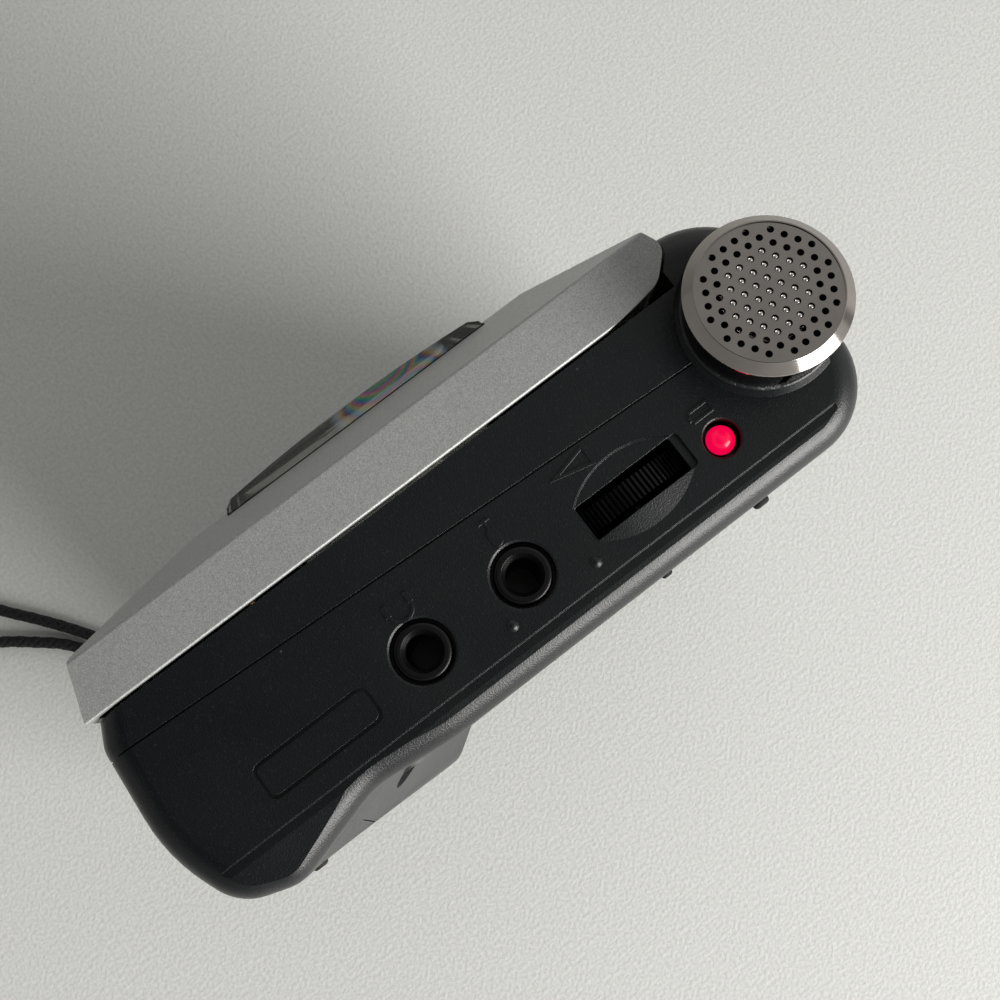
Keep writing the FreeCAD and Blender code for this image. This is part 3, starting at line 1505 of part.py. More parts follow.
save("strap_eye", strapEye())

coil, coilEnd, coilHeading = coilPath()
print("coil: least gap to itself %.2f mm" % leastGap(coil))
print("coil end", coilEnd, "heading", coilHeading)
coilStart = coil.Edges[0].valueAt(coil.Edges[0].FirstParameter)
startHeading = coil.Edges[0].tangentAt(coil.Edges[0].FirstParameter)
out = STRAND_OUT + [tuple(coilStart - startHeading * COIL_LEAD), tuple(coilStart)]
back = [tuple(coilEnd), tuple(coilEnd + coilHeading * COIL_LEAD)] + STRAND_BACK
save("strap_strand_out", sweep(tubePath(out, "strap_strand_out"), "strap_strand_out"))
save("strap_strand_back", sweep(tubePath(back, "strap_strand_back"), "strap_strand_back"))
save("strap_coil", sweep(coil, "strap_coil"))
save("strap_tie", strapTie(Vector(COIL_CENTRE[0], COIL_CENTRE[1], 0)))
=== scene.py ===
import json
import math

import bpy
import numpy as np
from mathutils import Matrix, Vector


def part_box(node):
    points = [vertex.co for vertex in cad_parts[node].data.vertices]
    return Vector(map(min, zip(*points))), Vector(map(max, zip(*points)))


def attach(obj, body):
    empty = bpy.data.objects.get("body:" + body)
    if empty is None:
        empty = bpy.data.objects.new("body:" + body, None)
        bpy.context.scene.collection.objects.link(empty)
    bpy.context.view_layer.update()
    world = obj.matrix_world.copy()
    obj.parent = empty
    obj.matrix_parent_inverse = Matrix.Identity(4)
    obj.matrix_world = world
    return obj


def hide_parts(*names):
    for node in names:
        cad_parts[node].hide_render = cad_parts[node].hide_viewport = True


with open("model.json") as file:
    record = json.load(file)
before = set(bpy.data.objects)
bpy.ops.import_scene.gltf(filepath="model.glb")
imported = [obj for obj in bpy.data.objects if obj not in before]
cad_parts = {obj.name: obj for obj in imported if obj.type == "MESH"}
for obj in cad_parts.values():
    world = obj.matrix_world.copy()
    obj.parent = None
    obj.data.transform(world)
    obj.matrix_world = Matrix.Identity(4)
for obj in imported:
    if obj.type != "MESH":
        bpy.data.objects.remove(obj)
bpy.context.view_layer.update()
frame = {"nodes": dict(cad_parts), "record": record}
nodes = frame["nodes"]
slotOf = {part["node"]: part["material_slot"] for part in frame["record"]["subparts"]}
mm = 0.001

camera = {
    "place": (0.00695, 0.01484, 0.278),
    "turnDegrees": (6.978, 0.070, 142.609),
    "lensMillimetres": 58.8,
    "sensorMillimetres": 36.0,
    "nearest": 0.01,
    "farthest": 20.0,
}


def makeCamera(values):
    data = bpy.data.cameras.new("overheadCamera")
    data.lens = values["lensMillimetres"]
    data.sensor_width = values["sensorMillimetres"]
    data.clip_start = values["nearest"]
    data.clip_end = values["farthest"]
    rig = bpy.data.objects.new("overheadCamera", data)
    rig.location = values["place"]
    rig.rotation_euler = [math.radians(a) for a in values["turnDegrees"]]
    bpy.context.scene.collection.objects.link(rig)
    bpy.context.scene.camera = rig


makeCamera(camera)
print("stage: camera")


def fillSocket(tree, socket, value):
    if isinstance(value, bpy.types.NodeSocket):
        tree.links.new(value, socket)
    else:
        socket.default_value = value


def addNode(tree, kind, inputs=None, **settings):
    made = tree.nodes.new(kind)
    for name, value in settings.items():
        setattr(made, name, value)
    for name, value in (inputs or {}).items():
        fillSocket(tree, made.inputs[name], value)
    return made


def mathNode(tree, operation, first, second=0.0, clamp=False):
    inputs = {0: first, 1: second}
    return addNode(tree, "ShaderNodeMath", inputs, operation=operation, use_clamp=clamp).outputs[0]


def spread(tree, value, low, high, newLow=0.0, newHigh=1.0, kind="LINEAR"):
    inputs = {"Value": value, "From Min": low, "From Max": high, "To Min": newLow, "To Max": newHigh}
    return addNode(tree, "ShaderNodeMapRange", inputs, interpolation_type=kind).outputs["Result"]


def mixColour(tree, factor, first, second, blend="MIX"):
    made = addNode(tree, "ShaderNodeMix", data_type="RGBA", blend_type=blend)
    fillSocket(tree, made.inputs[0], factor)
    for index, value in ((6, first), (7, second)):
        linked = isinstance(value, bpy.types.NodeSocket)
        fillSocket(tree, made.inputs[index], value if linked else (*value, 1.0))
    return made.outputs[2]


def scaled(colour, gain, most=1.0):
    return tuple(min(most, c * gain) for c in colour)


def startGroup(name, inputs, outputs):
    tree = bpy.data.node_groups.new(name, "ShaderNodeTree")
    for label, kind, default in inputs:
        socket = tree.interface.new_socket(name=label, in_out="INPUT", socket_type=kind)
        if default is not None:
            socket.default_value = default
    for label, kind in outputs:
        tree.interface.new_socket(name=label, in_out="OUTPUT", socket_type=kind)
    return tree, tree.nodes.new("NodeGroupInput"), tree.nodes.new("NodeGroupOutput")


def placeGroup(tree, group, **inputs):
    made = tree.nodes.new("ShaderNodeGroup")
    made.node_tree = group
    for name, value in inputs.items():
        fillSocket(tree, made.inputs[name], value)
    return made


def makeMouldGrain():
    # the fine leathery pits of a spark-eroded mould, and the few cells that take a painted glint
    tree, start, end = startGroup(
        "mouldGrain",
        [("Size", "NodeSocketFloat", 0.0002), ("Pitting", "NodeSocketFloat", 0.3)],
        [("Height", "NodeSocketFloat"), ("PaintedGlint", "NodeSocketFloat")],
    )
    where = addNode(tree, "ShaderNodeTexCoord").outputs["Object"]
    scale = mathNode(tree, "DIVIDE", 1.0, start.outputs["Size"])
    noise = {"Vector": where, "Scale": scale, "Detail": 2.0, "Roughness": 0.55}
    fine = addNode(tree, "ShaderNodeTexNoise", noise)
    cells = addNode(tree, "ShaderNodeTexVoronoi", {"Vector": where, "Scale": scale}, feature="F1")
    pits = mathNode(tree, "MULTIPLY", cells.outputs["Distance"], start.outputs["Pitting"])
    height = mathNode(tree, "ADD", fine.outputs["Fac"], pits)
    tree.links.new(height, end.inputs["Height"])
    brightness = addNode(tree, "ShaderNodeSeparateColor", {"Color": cells.outputs["Color"]})
    tree.links.new(brightness.outputs[0], end.inputs["PaintedGlint"])
    return tree


def makeEdgeWearAndHighlight():
    # where a corner turns more sharply than its radius: rubbed unevenly, and also used as a painted edge
    # highlight
    tree, start, end = startGroup(
        "edgeWearAndHighlight",
        [("Radius", "NodeSocketFloat", 0.0004), ("Breakup", "NodeSocketFloat", 900.0)],
        [("Mask", "NodeSocketFloat")],
    )
    soft = addNode(tree, "ShaderNodeBevel", {"Radius": start.outputs["Radius"]}, samples=4)
    flat = addNode(tree, "ShaderNodeNewGeometry")
    pair = {0: soft.outputs[0], 1: flat.outputs["Normal"]}
    dot = addNode(tree, "ShaderNodeVectorMath", pair, operation="DOT_PRODUCT")
    bent = spread(tree, dot.outputs["Value"], 0.999, 0.86)
    where = addNode(tree, "ShaderNodeTexCoord").outputs["Object"]
    noise = {"Vector": where, "Scale": start.outputs["Breakup"], "Detail": 3.0}
    rub = addNode(tree, "ShaderNodeTexNoise", noise)
    patchy = spread(tree, rub.outputs["Fac"], 0.35, 0.65)
    tree.links.new(mathNode(tree, "MULTIPLY", bent, patchy), end.inputs["Mask"])
    return tree


def makeHandling():
    # finger smudges in soft patches, and settled dust specks
    tree, start, end = startGroup(
        "handling",
        [("Patch", "NodeSocketFloat", 0.02), ("Speck", "NodeSocketFloat", 0.0024)],
        [("Smudge", "NodeSocketFloat"), ("Dust", "NodeSocketFloat")],
    )
    where = addNode(tree, "ShaderNodeTexCoord").outputs["Object"]
    scale = mathNode(tree, "DIVIDE", 1.0, start.outputs["Patch"])
    noise = {"Vector": where, "Scale": scale, "Detail": 4.0, "Roughness": 0.6, "Distortion": 0.4}
    patches = addNode(tree, "ShaderNodeTexNoise", noise)
    tree.links.new(spread(tree, patches.outputs["Fac"], 0.3, 0.7), end.inputs["Smudge"])
    speckScale = mathNode(tree, "DIVIDE", 1.0, start.outputs["Speck"])
    specks = addNode(tree, "ShaderNodeTexVoronoi", {"Vector": where, "Scale": speckScale})
    small = spread(tree, specks.outputs["Distance"], 0.07, 0.03)
    chosen = addNode(tree, "ShaderNodeSeparateColor", {"Color": specks.outputs["Color"]})
    few = spread(tree, chosen.outputs[1], 0.86, 0.9)
    tree.links.new(mathNode(tree, "MULTIPLY", small, few), end.inputs["Dust"])
    return tree


def makeDrawnLines():
    # fine drawn or turned lines, long one way
    tree, start, end = startGroup(
        "drawnLines",
        [("Stretch", "NodeSocketVector", None), ("Density", "NodeSocketFloat", 1.0)],
        [("Line", "NodeSocketFloat")],
    )
    where = addNode(tree, "ShaderNodeTexCoord").outputs["Object"]
    pair = {0: where, 1: start.outputs["Stretch"]}
    long = addNode(tree, "ShaderNodeVectorMath", pair, operation="MULTIPLY")
    noise = {"Vector": long.outputs[0], "Scale": start.outputs["Density"], "Detail": 3.0}
    lines = addNode(tree, "ShaderNodeTexNoise", noise)
    tree.links.new(lines.outputs["Fac"], end.inputs["Line"])
    return tree


mouldGrain = makeMouldGrain()
edgeWearAndHighlight = makeEdgeWearAndHighlight()
handling = makeHandling()
drawnLines = makeDrawnLines()


def newMaterial(name):
    material = bpy.data.materials.new(name)
    material.use_nodes = True
    tree = material.node_tree
    tree.nodes.clear()
    end = tree.nodes.new("ShaderNodeOutputMaterial")
    surface = tree.nodes.new("ShaderNodeBsdfPrincipled")
    tree.links.new(surface.outputs[0], end.inputs["Surface"])
    return material, tree, surface


socketNames = {
    "metallic": "Metallic",
    "specular": "Specular IOR Level",
    "coat": "Coat Weight",
    "coatRough": "Coat Roughness",
    "transmission": "Transmission Weight",
    "ior": "IOR",
    "sheen": "Sheen Weight",
    "sheenRough": "Sheen Roughness",
    "emission": "Emission Strength",
}


def setSockets(surface, **values):
    for name, value in values.items():
        surface.inputs[socketNames[name]].default_value = value


def bumpFrom(tree, surface, height, strength, distance, edge=0.0):
    # small relief, over corners that shade as if they had the given radius
    inputs = {"Height": height, "Strength": strength, "Distance": distance}
    if edge:
        inputs["Normal"] = addNode(tree, "ShaderNodeBevel", {"Radius": edge}, samples=6).outputs[0]
    bump = addNode(tree, "ShaderNodeBump", inputs)
    tree.links.new(bump.outputs[0], surface.inputs["Normal"])


plasticDefaults = {
    "grain": 0.0002,
    "pitting": 0.35,
    "bump": 0.2,
    "paintedGlint": 0.0,
    "paintedGlintColour": (0.5, 0.52, 0.55),
    "wearAndHighlight": 0.35,
    "wearAndHighlightGain": 1.6,
    "wearAndHighlightRadius": 0.0003,
    "wearAndHighlightBreakup": 700.0,
    "dust": 0.15,
    "dustColour": (0.5, 0.5, 0.48),
    "patch": 0.018,
    "specular": 0.5,
    "edge": 0.00008,
}


def mouldedPlastic(name, chosen):
    # textured plastic: grain in the bump, smudges in the gloss, painted glints on a few grain cells, edges
    # a little paler as rubbed wear and as a painted highlight
    values = {**plasticDefaults, **chosen}
    material, tree, surface = newMaterial(name)
    colour = values["colour"]
    grain = placeGroup(tree, mouldGrain, Size=values["grain"], Pitting=values["pitting"])
    touch = placeGroup(tree, handling, Patch=values["patch"])
    wornAndHighlit = placeGroup(tree, edgeWearAndHighlight, Radius=values["wearAndHighlightRadius"], Breakup=values["wearAndHighlightBreakup"])
    tone = mixColour(tree, touch.outputs["Smudge"], scaled(colour, 0.82), colour)
    # painted glints: a few grain cells tinted pale, as if catching the light
    paintedGlint = spread(tree, grain.outputs["PaintedGlint"], 0.9, 1.0, 0.0, values["paintedGlint"])
    tone = mixColour(tree, paintedGlint, tone, values["paintedGlintColour"])
    # edges paler: partly rubbed wear, partly a painted highlight
    rubbedAndHighlit = mathNode(tree, "MULTIPLY", wornAndHighlit.outputs["Mask"], values["wearAndHighlight"])
    tone = mixColour(tree, rubbedAndHighlit, tone, scaled(colour, values["wearAndHighlightGain"]))
    dusty = mathNode(tree, "MULTIPLY", touch.outputs["Dust"], values["dust"])
    tone = mixColour(tree, dusty, tone, values["dustColour"])
    tree.links.new(tone, surface.inputs["Base Color"])
    rough = values["rough"]
    gloss = spread(tree, touch.outputs["Smudge"], 0.0, 1.0, rough + 0.05, rough - 0.04)
    gloss = mathNode(tree, "SUBTRACT", gloss, mathNode(tree, "MULTIPLY", wornAndHighlit.outputs["Mask"], 0.12))
    tree.links.new(gloss, surface.inputs["Roughness"])
    distance = values["grain"] * 0.5
    bumpFrom(tree, surface, grain.outputs["Height"], values["bump"], distance, values["edge"])
    setSockets(surface, specular=values["specular"])
    return material


def flakePaint(name, values):
    # silver paint: tiny flakes that each shine a little differently under a thin clear coat
    material, tree, surface = newMaterial(name)
    size = values["flake"]
    colour = values["colour"]
    where = addNode(tree, "ShaderNodeTexCoord").outputs["Object"]
    flakes = addNode(tree, "ShaderNodeTexVoronoi", {"Vector": where, "Scale": 1.0 / size})
    shade = addNode(tree, "ShaderNodeSeparateColor", {"Color": flakes.outputs["Color"]})
    mottle = addNode(tree, "ShaderNodeTexNoise", {"Vector": where, "Scale": 0.5 / size, "Detail": 3.0})
    touch = placeGroup(tree, handling, Patch=0.025)
    wornAndHighlit = placeGroup(tree, edgeWearAndHighlight, Radius=0.00035, Breakup=500.0)
    contrast = values["contrast"]
    tone = mixColour(tree, shade.outputs[0], scaled(colour, 1.0 - contrast), scaled(colour, 1.0 + contrast))
    tone = mixColour(tree, spread(tree, mottle.outputs["Fac"], 0.35, 0.65, 0.1, 0.5), tone, colour)
    # edges paler: partly rubbed paint, partly a painted highlight
    tone = mixColour(tree, mathNode(tree, "MULTIPLY", wornAndHighlit.outputs["Mask"], 0.4), tone, scaled(colour, 1.4))
    tree.links.new(tone, surface.inputs["Base Color"])
    rough = values["rough"]
    gloss = spread(tree, shade.outputs[1], 0.0, 1.0, rough - 0.05, rough + 0.07)
    gloss = mathNode(tree, "ADD", gloss, spread(tree, touch.outputs["Smudge"], 0.0, 1.0, -0.02, 0.05))
    tree.links.new(gloss, surface.inputs["Roughness"])
    bumpFrom(tree, surface, mottle.outputs["Fac"], values["bump"], size)
    setSockets(surface, metallic=values["metallic"], coat=values["coat"], coatRough=0.3)
    return material


def polishedMetal(name, values):
    # plated or turned metal: fine lines, smudges and dust specks
    material, tree, surface = newMaterial(name)
    colour = values["colour"]
    lines = placeGroup(tree, drawnLines, Stretch=values["lines"], Density=1.0)
    touch = placeGroup(tree, handling, Patch=0.006)
    grey = spread(tree, lines.outputs["Line"], 0.3, 0.7)
    tone = mixColour(tree, grey, scaled(colour, 0.9), colour)
    dusty = mathNode(tree, "MULTIPLY", touch.outputs["Dust"], values.get("dust", 0.1))
    tone = mixColour(tree, dusty, tone, (0.4, 0.39, 0.37))
    tree.links.new(tone, surface.inputs["Base Color"])
    rough = values["rough"]
    gloss = spread(tree, touch.outputs["Smudge"], 0.0, 1.0, rough, rough * 1.5 + 0.015)
    tree.links.new(gloss, surface.inputs["Roughness"])
    bumpFrom(tree, surface, lines.outputs["Line"], values["bump"], 0.00003)
    setSockets(surface, metallic=1.0)
    return material


def filmDepth(tree, where, values):
    # thickness in nanometres of the hard skin on clear plastic, uneven over one stretch of the piece
    axes = addNode(tree, "ShaderNodeSeparateXYZ", {"Vector": where})
    low, middle, high = values["stretch"]
    rising = spread(tree, axes.outputs["X"], low, middle, 0.0, 1.0, "SMOOTHSTEP")
    falling = spread(tree, axes.outputs["X"], middle, high, 1.0, 0.0, "SMOOTHSTEP")
    along = mathNode(tree, "MULTIPLY", axes.outputs["X"], values["perMetreAlong"])
    across = mathNode(tree, "MULTIPLY", axes.outputs["Y"], values["perMetreAcross"])
    phase = mathNode(tree, "PINGPONG", mathNode(tree, "ADD", along, across), 1.0)
    depth = spread(tree, phase, 0.0, 1.0, *values["depth"])
    return mathNode(tree, "MULTIPLY", depth, mathNode(tree, "MULTIPLY", rising, falling))


def clearPlastic(name, values):
    # clear acrylic; its hard skin is uneven at one place and shows faint colours there
    material, tree, surface = newMaterial(name)
    where = addNode(tree, "ShaderNodeTexCoord").outputs["Object"]
    touch = placeGroup(tree, handling, Patch=0.008)
    tone = mixColour(tree, touch.outputs["Smudge"], values["colour"], scaled(values["colour"], 0.96))
    tree.links.new(filmDepth(tree, where, values["film"]), surface.inputs["Thin Film Thickness"])
    surface.inputs["Thin Film IOR"].default_value = values["film"]["ior"]
    tree.links.new(tone, surface.inputs["Base Color"])
    rough = values["rough"]
    gloss = spread(tree, touch.outputs["Smudge"], 0.0, 1.0, rough, rough + 0.03)
    tree.links.new(gloss, surface.inputs["Roughness"])
    ripple = addNode(tree, "ShaderNodeTexNoise", {"Vector": where, "Scale": 160.0, "Detail": 1.0})
    bumpFrom(tree, surface, ripple.outputs["Fac"], 0.05, 0.0005)
    setSockets(surface, transmission=1.0, ior=values["ior"])
    surface.inputs["Sheen Weight"].default_value = values["haze"]
    surface.inputs["Sheen Roughness"].default_value = values["hazeSpread"]
    surface.inputs["Sheen Tint"].default_value = (*values["hazeColour"], 1.0)
    return material


def litPlastic(name, values):
    # tinted clear plastic lit from inside
    material, tree, surface = newMaterial(name)
    where = addNode(tree, "ShaderNodeTexCoord").outputs["Object"]
    speck = addNode(tree, "ShaderNodeTexNoise", {"Vector": where, "Scale": 1500.0, "Detail": 2.0})
    tone = mixColour(tree, speck.outputs["Fac"], values["colour"], scaled(values["colour"], 1.2))
    tree.links.new(tone, surface.inputs["Base Color"])
    glow = mixColour(tree, spread(tree, speck.outputs["Fac"], 0.2, 0.8), values["glow"], values["glowPale"])
    height = addNode(tree, "ShaderNodeSeparateXYZ", {"Vector": where}).outputs["Z"]
    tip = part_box("lamp")[1][2]
    dark = spread(tree, height, tip - values["litDepth"], tip - values["litDepth"] * 0.8, 1.0, 0.0)
    tree.links.new(mixColour(tree, dark, glow, (0.0, 0.0, 0.0)), surface.inputs["Emission Color"])
    tree.links.new(spread(tree, speck.outputs["Fac"], 0.0, 1.0, 0.16, 0.26), surface.inputs["Roughness"])
    setSockets(surface, emission=values["power"], specular=0.35)
    return material


def paperOrLaminate(name, values):
    # flat stock with fibres or a fine weave showing through
    material, tree, surface = newMaterial(name)
    where = addNode(tree, "ShaderNodeTexCoord").outputs["Object"]
    noise = {"Vector": where, "Scale": values["fibre"], "Detail": 5.0, "Roughness": 0.65}
    fibre = addNode(tree, "ShaderNodeTexNoise", noise)
    colour = values["colour"]
    grey = spread(tree, fibre.outputs["Fac"], 0.3, 0.7)
    tone = mixColour(tree, grey, scaled(colour, 0.75), scaled(colour, 1.2))
    tree.links.new(tone, surface.inputs["Base Color"])
    rough = values["rough"]
    gloss = spread(tree, fibre.outputs["Fac"], 0.2, 0.8, rough - 0.06, rough + 0.06)
    tree.links.new(gloss, surface.inputs["Roughness"])
    bumpFrom(tree, surface, fibre.outputs["Fac"], 0.25, 0.0001)
    return material


def braidedYarn(name, values):
    # polyester yarn: filaments along each strand, read from the piece's own UV map
    material, tree, surface = newMaterial(name)
    flat = addNode(tree, "ShaderNodeUVMap", uv_map="strand").outputs["UV"]
    stretch = {"Vector": flat, "Scale": (6.0, 500.0, 1.0), "Rotation": (0.0, 0.0, 0.18)}
    stretched = addNode(tree, "ShaderNodeMapping", stretch)
    noise = {"Vector": stretched.outputs[0], "Scale": 1.0, "Detail": 3.0}
    filament = addNode(tree, "ShaderNodeTexNoise", noise)
    colour = values["colour"]
    grey = spread(tree, filament.outputs["Fac"], 0.3, 0.7)
    tone = mixColour(tree, grey, scaled(colour, 0.5), scaled(colour, 1.9))
    tree.links.new(tone, surface.inputs["Base Color"])
    tree.links.new(spread(tree, filament.outputs["Fac"], 0.2, 0.8, 0.62, 0.8), surface.inputs["Roughness"])
    bumpFrom(tree, surface, filament.outputs["Fac"], 0.5, 0.00008)
    setSockets(surface, sheen=0.08, sheenRough=0.5, specular=0.25)
    return material


windowFilm = {
    "stretch": (-0.0125, -0.0055, 0.0045),
    "perMetreAlong": -95.0,
    "perMetreAcross": 330.0,
    "depth": (280.0, 760.0),
    "ior": 1.9,
}
greyKeys = {"colour": (0.2, 0.205, 0.21), "rough": 0.36, "grain": 0.00014, "bump": 0.1, "wearAndHighlightGain": 1.4}
plastics = {
    "case_plastic": {
        "colour": (0.0022, 0.0034, 0.0044),
        "rough": 0.34,
        "grain": 0.00018,
        "bump": 0.3,
        "paintedGlint": 0.012,
        "wearAndHighlight": 0.3,
        "wearAndHighlightGain": 3.0,
        "dust": 0.1,
    },
    "bezel_plastic": {"colour": (0.02, 0.021, 0.024), "rough": 0.45, "bump": 0.25},
    "key_plastic": greyKeys,
    "red_key_plastic": {**greyKeys, "colour": (0.2, 0.2, 0.205)},
    "black_plastic": {
        "colour": (0.0022, 0.0022, 0.0024),
        "rough": 0.26,
        "grain": 0.00025,
        "bump": 0.06,
        "specular": 0.35,
        "wearAndHighlight": 0.2,
    },
    "white_plastic": {
        "colour": (0.62, 0.61, 0.57),
        "rough": 0.4,
        "grain": 0.0003,
        "bump": 0.08,
        "wearAndHighlightGain": 1.1,
        "dust": 0.3,
    },
    "black_rubber": {
        "colour": (0.012, 0.012, 0.012),
        "rough": 0.75,
        "bump": 0.35,
        "specular": 0.3,
        "dust": 0.35,
    },
    "component_plastic": {"colour": (0.014, 0.014, 0.016), "rough": 0.28, "grain": 0.0003, "bump": 0.1},
}
metals = {
    "sheet_steel": {
        "colour": (0.55, 0.55, 0.53), "rough": 0.28, "lines": (60.0, 2500.0, 2500.0), "bump": 0.3,
    },
    "bright_chrome": {
        "colour": (0.38, 0.35, 0.325), "rough": 0.075, "lines": (400.0, 400.0, 400.0), "bump": 0.02,
    },
    "capsule_metal": {
        "colour": (0.8, 0.8, 0.79), "rough": 0.18, "lines": (1500.0, 1500.0, 80.0), "bump": 0.2,
    },
    "brass": {
        "colour": (0.75, 0.55, 0.26), "rough": 0.22, "lines": (1500.0, 90.0, 1500.0), "bump": 0.25,
    },
    "cell_jacket": {
        "colour": (0.12, 0.12, 0.13), "rough": 0.2, "lines": (900.0, 900.0, 30.0), "bump": 0.05,
    },
}
others = {
    "silver_lid": (flakePaint, {
        "colour": (0.38, 0.385, 0.38),
        "rough": 0.45,
        "flake": 0.00009,
        "contrast": 0.32,
        "metallic": 0.45,
        "coat": 0.1,
        "bump": 0.16,
    }),
    "clear_plastic": (clearPlastic, {
        "colour": (0.8, 0.8, 0.75),
        "rough": 0.02,
        "ior": 1.49,
        "film": windowFilm,
        "haze": 0.45,
        "hazeSpread": 0.25,
        "hazeColour": (0.9, 0.9, 0.82),
    }),
    "board_laminate": (paperOrLaminate, {"colour": (0.02, 0.11, 0.045), "rough": 0.35, "fibre": 900.0}),
    "lamp_plastic": (litPlastic, {
        "colour": (0.08, 0.001, 0.008),
        "glow": (0.88, 0.0, 0.055),
        "glowPale": (0.93, 0.001, 0.07),
        "power": 0.95,
        "litDepth": 0.0016,
    }),
    "cone_paper": (paperOrLaminate, {"colour": (0.02, 0.02, 0.02), "rough": 0.85, "fibre": 1500.0}),
    "braided_cord": (braidedYarn, {"colour": (0.0045, 0.0045, 0.005)}),
}
finishes = {name: (mouldedPlastic, values) for name, values in plastics.items()}
finishes.update({name: (polishedMetal, values) for name, values in metals.items()})
finishes.update(others)
materials = {name: build(name, values) for name, (build, values) in finishes.items()}
for name, part in nodes.items():
    part.data.materials.clear()
    part.data.materials.append(materials[slotOf[name]])
print("stage: finishes")


def makePinLattice():
    # round-headed pins on a triangular lattice inside a circle, as one mesh with the heads at the origin
    tree = bpy.data.node_groups.new("pinLattice", "GeometryNodeTree")
    for label, kind in (
        ("Pitch", "NodeSocketFloat"),
        ("Reach", "NodeSocketFloat"),
        ("Pin Radius", "NodeSocketFloat"),
        ("Pin Length", "NodeSocketFloat"),
        ("Rows", "NodeSocketInt"),
        ("Finish", "NodeSocketMaterial"),
    ):
        tree.interface.new_socket(name=label, in_out="INPUT", socket_type=kind)
    tree.interface.new_socket(name="Geometry", in_out="OUTPUT", socket_type="NodeSocketGeometry")
    start = tree.nodes.new("NodeGroupInput")
    end = tree.nodes.new("NodeGroupOutput")
    pitch = start.outputs["Pitch"]
    rows = start.outputs["Rows"]
    rowPitch = mathNode(tree, "MULTIPLY", pitch, math.sqrt(3) / 2)
    steps = mathNode(tree, "SUBTRACT", rows, 1.0)
    grid = addNode(tree, "GeometryNodeMeshGrid", {
        "Size X": mathNode(tree, "MULTIPLY", steps, pitch),
        "Size Y": mathNode(tree, "MULTIPLY", steps, rowPitch),
        "Vertices X": rows,
        "Vertices Y": rows,
    })
    before = tree.nodes.new("GeometryNodeInputPosition").outputs[0]
    place = addNode(tree, "ShaderNodeSeparateXYZ", {"Vector": before})
    row = mathNode(tree, "ROUND", mathNode(tree, "DIVIDE", place.outputs["Y"], rowPitch))
    odd = mathNode(tree, "FLOORED_MODULO", row, 2.0)
    half = mathNode(tree, "MULTIPLY", mathNode(tree, "MULTIPLY", odd, pitch), 0.5)
    shift = addNode(tree, "ShaderNodeCombineXYZ", {"X": half})
    moved = addNode(tree, "GeometryNodeSetPosition", {
        "Geometry": grid.outputs[0],
        "Offset": shift.outputs[0],
    })
    newPlace = tree.nodes.new("GeometryNodeInputPosition").outputs[0]
    far = addNode(tree, "ShaderNodeVectorMath", {0: newPlace}, operation="LENGTH").outputs["Value"]
    outside = mathNode(tree, "GREATER_THAN", far, start.outputs["Reach"])
    kept = addNode(tree, "GeometryNodeDeleteGeometry", {"Geometry": moved.outputs[0], "Selection": outside})
    head = addNode(tree, "GeometryNodeMeshUVSphere", {
        "Segments": 24,
        "Rings": 16,
        "Radius": start.outputs["Pin Radius"],
    })
    smooth = addNode(tree, "GeometryNodeSetShadeSmooth", {"Geometry": head.outputs[0]})
    stem = addNode(tree, "GeometryNodeMeshCylinder", {
        "Vertices": 24,
        "Radius": start.outputs["Pin Radius"],
        "Depth": start.outputs["Pin Length"],
    })
    down = mathNode(tree, "MULTIPLY", start.outputs["Pin Length"], -0.5)
    low = addNode(tree, "GeometryNodeTransform", {
        "Geometry": stem.outputs[0],
        "Translation": addNode(tree, "ShaderNodeCombineXYZ", {"Z": down}).outputs[0],
    })
    pin = tree.nodes.new("GeometryNodeJoinGeometry")
    tree.links.new(smooth.outputs[0], pin.inputs[0])
    tree.links.new(low.outputs[0], pin.inputs[0])
    pins = addNode(tree, "GeometryNodeInstanceOnPoints", {
        "Points": kept.outputs[0],
        "Instance": pin.outputs[0],
    })
    real = addNode(tree, "GeometryNodeRealizeInstances", {"Geometry": pins.outputs[0]})
    finished = addNode(tree, "GeometryNodeSetMaterial", {
        "Geometry": real.outputs[0],
        "Material": start.outputs["Finish"],
    })
    tree.links.new(finished.outputs[0], end.inputs["Geometry"])
    return tree


pinLattice = makePinLattice()


def grown(name, tree, matrix, body, slotName, **inputs):
    # runs a geometry tree once and keeps its result as a plain mesh that rides on a body
    seed = bpy.data.objects.new(name + "Seed", bpy.data.meshes.new(name + "Seed"))
    bpy.context.scene.collection.objects.link(seed)
    modifier = seed.modifiers.new("grow", "NODES")
    modifier.node_group = tree
    sockets = {item.name: item.identifier for item in tree.interface.items_tree if item.in_out == "INPUT"}
    for label, value in inputs.items():
        modifier[sockets[label.replace("_", " ")]] = value
    seen = seed.evaluated_get(bpy.context.evaluated_depsgraph_get())
    mesh = bpy.data.meshes.new_from_object(seen)
    mesh.name = name
    bpy.data.objects.remove(seed)
    mesh.transform(matrix)
    made = bpy.data.objects.new(name, mesh)
    bpy.context.scene.collection.objects.link(made)
    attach(made, body)
    return made


def upperFace(node):
    # middle and direction of the flat face on top of a node
    top = [face for face in nodes[node].data.polygons if face.normal.z > 0.9]
    area = sum(face.area for face in top)
    middle = sum((face.center * face.area for face in top), Vector()) / area
    way = sum((face.normal * face.area for face in top), Vector()) / area
    return middle, way.normalized()


capsuleCap = {
    "pitch": 1.44,
    "reach": 4.45,
    "pinRadius": 0.34,
    "pinLength": 1.2,
    "rows": 9,
    "turnDegrees": 0.5,
    "below": 0.4,
}


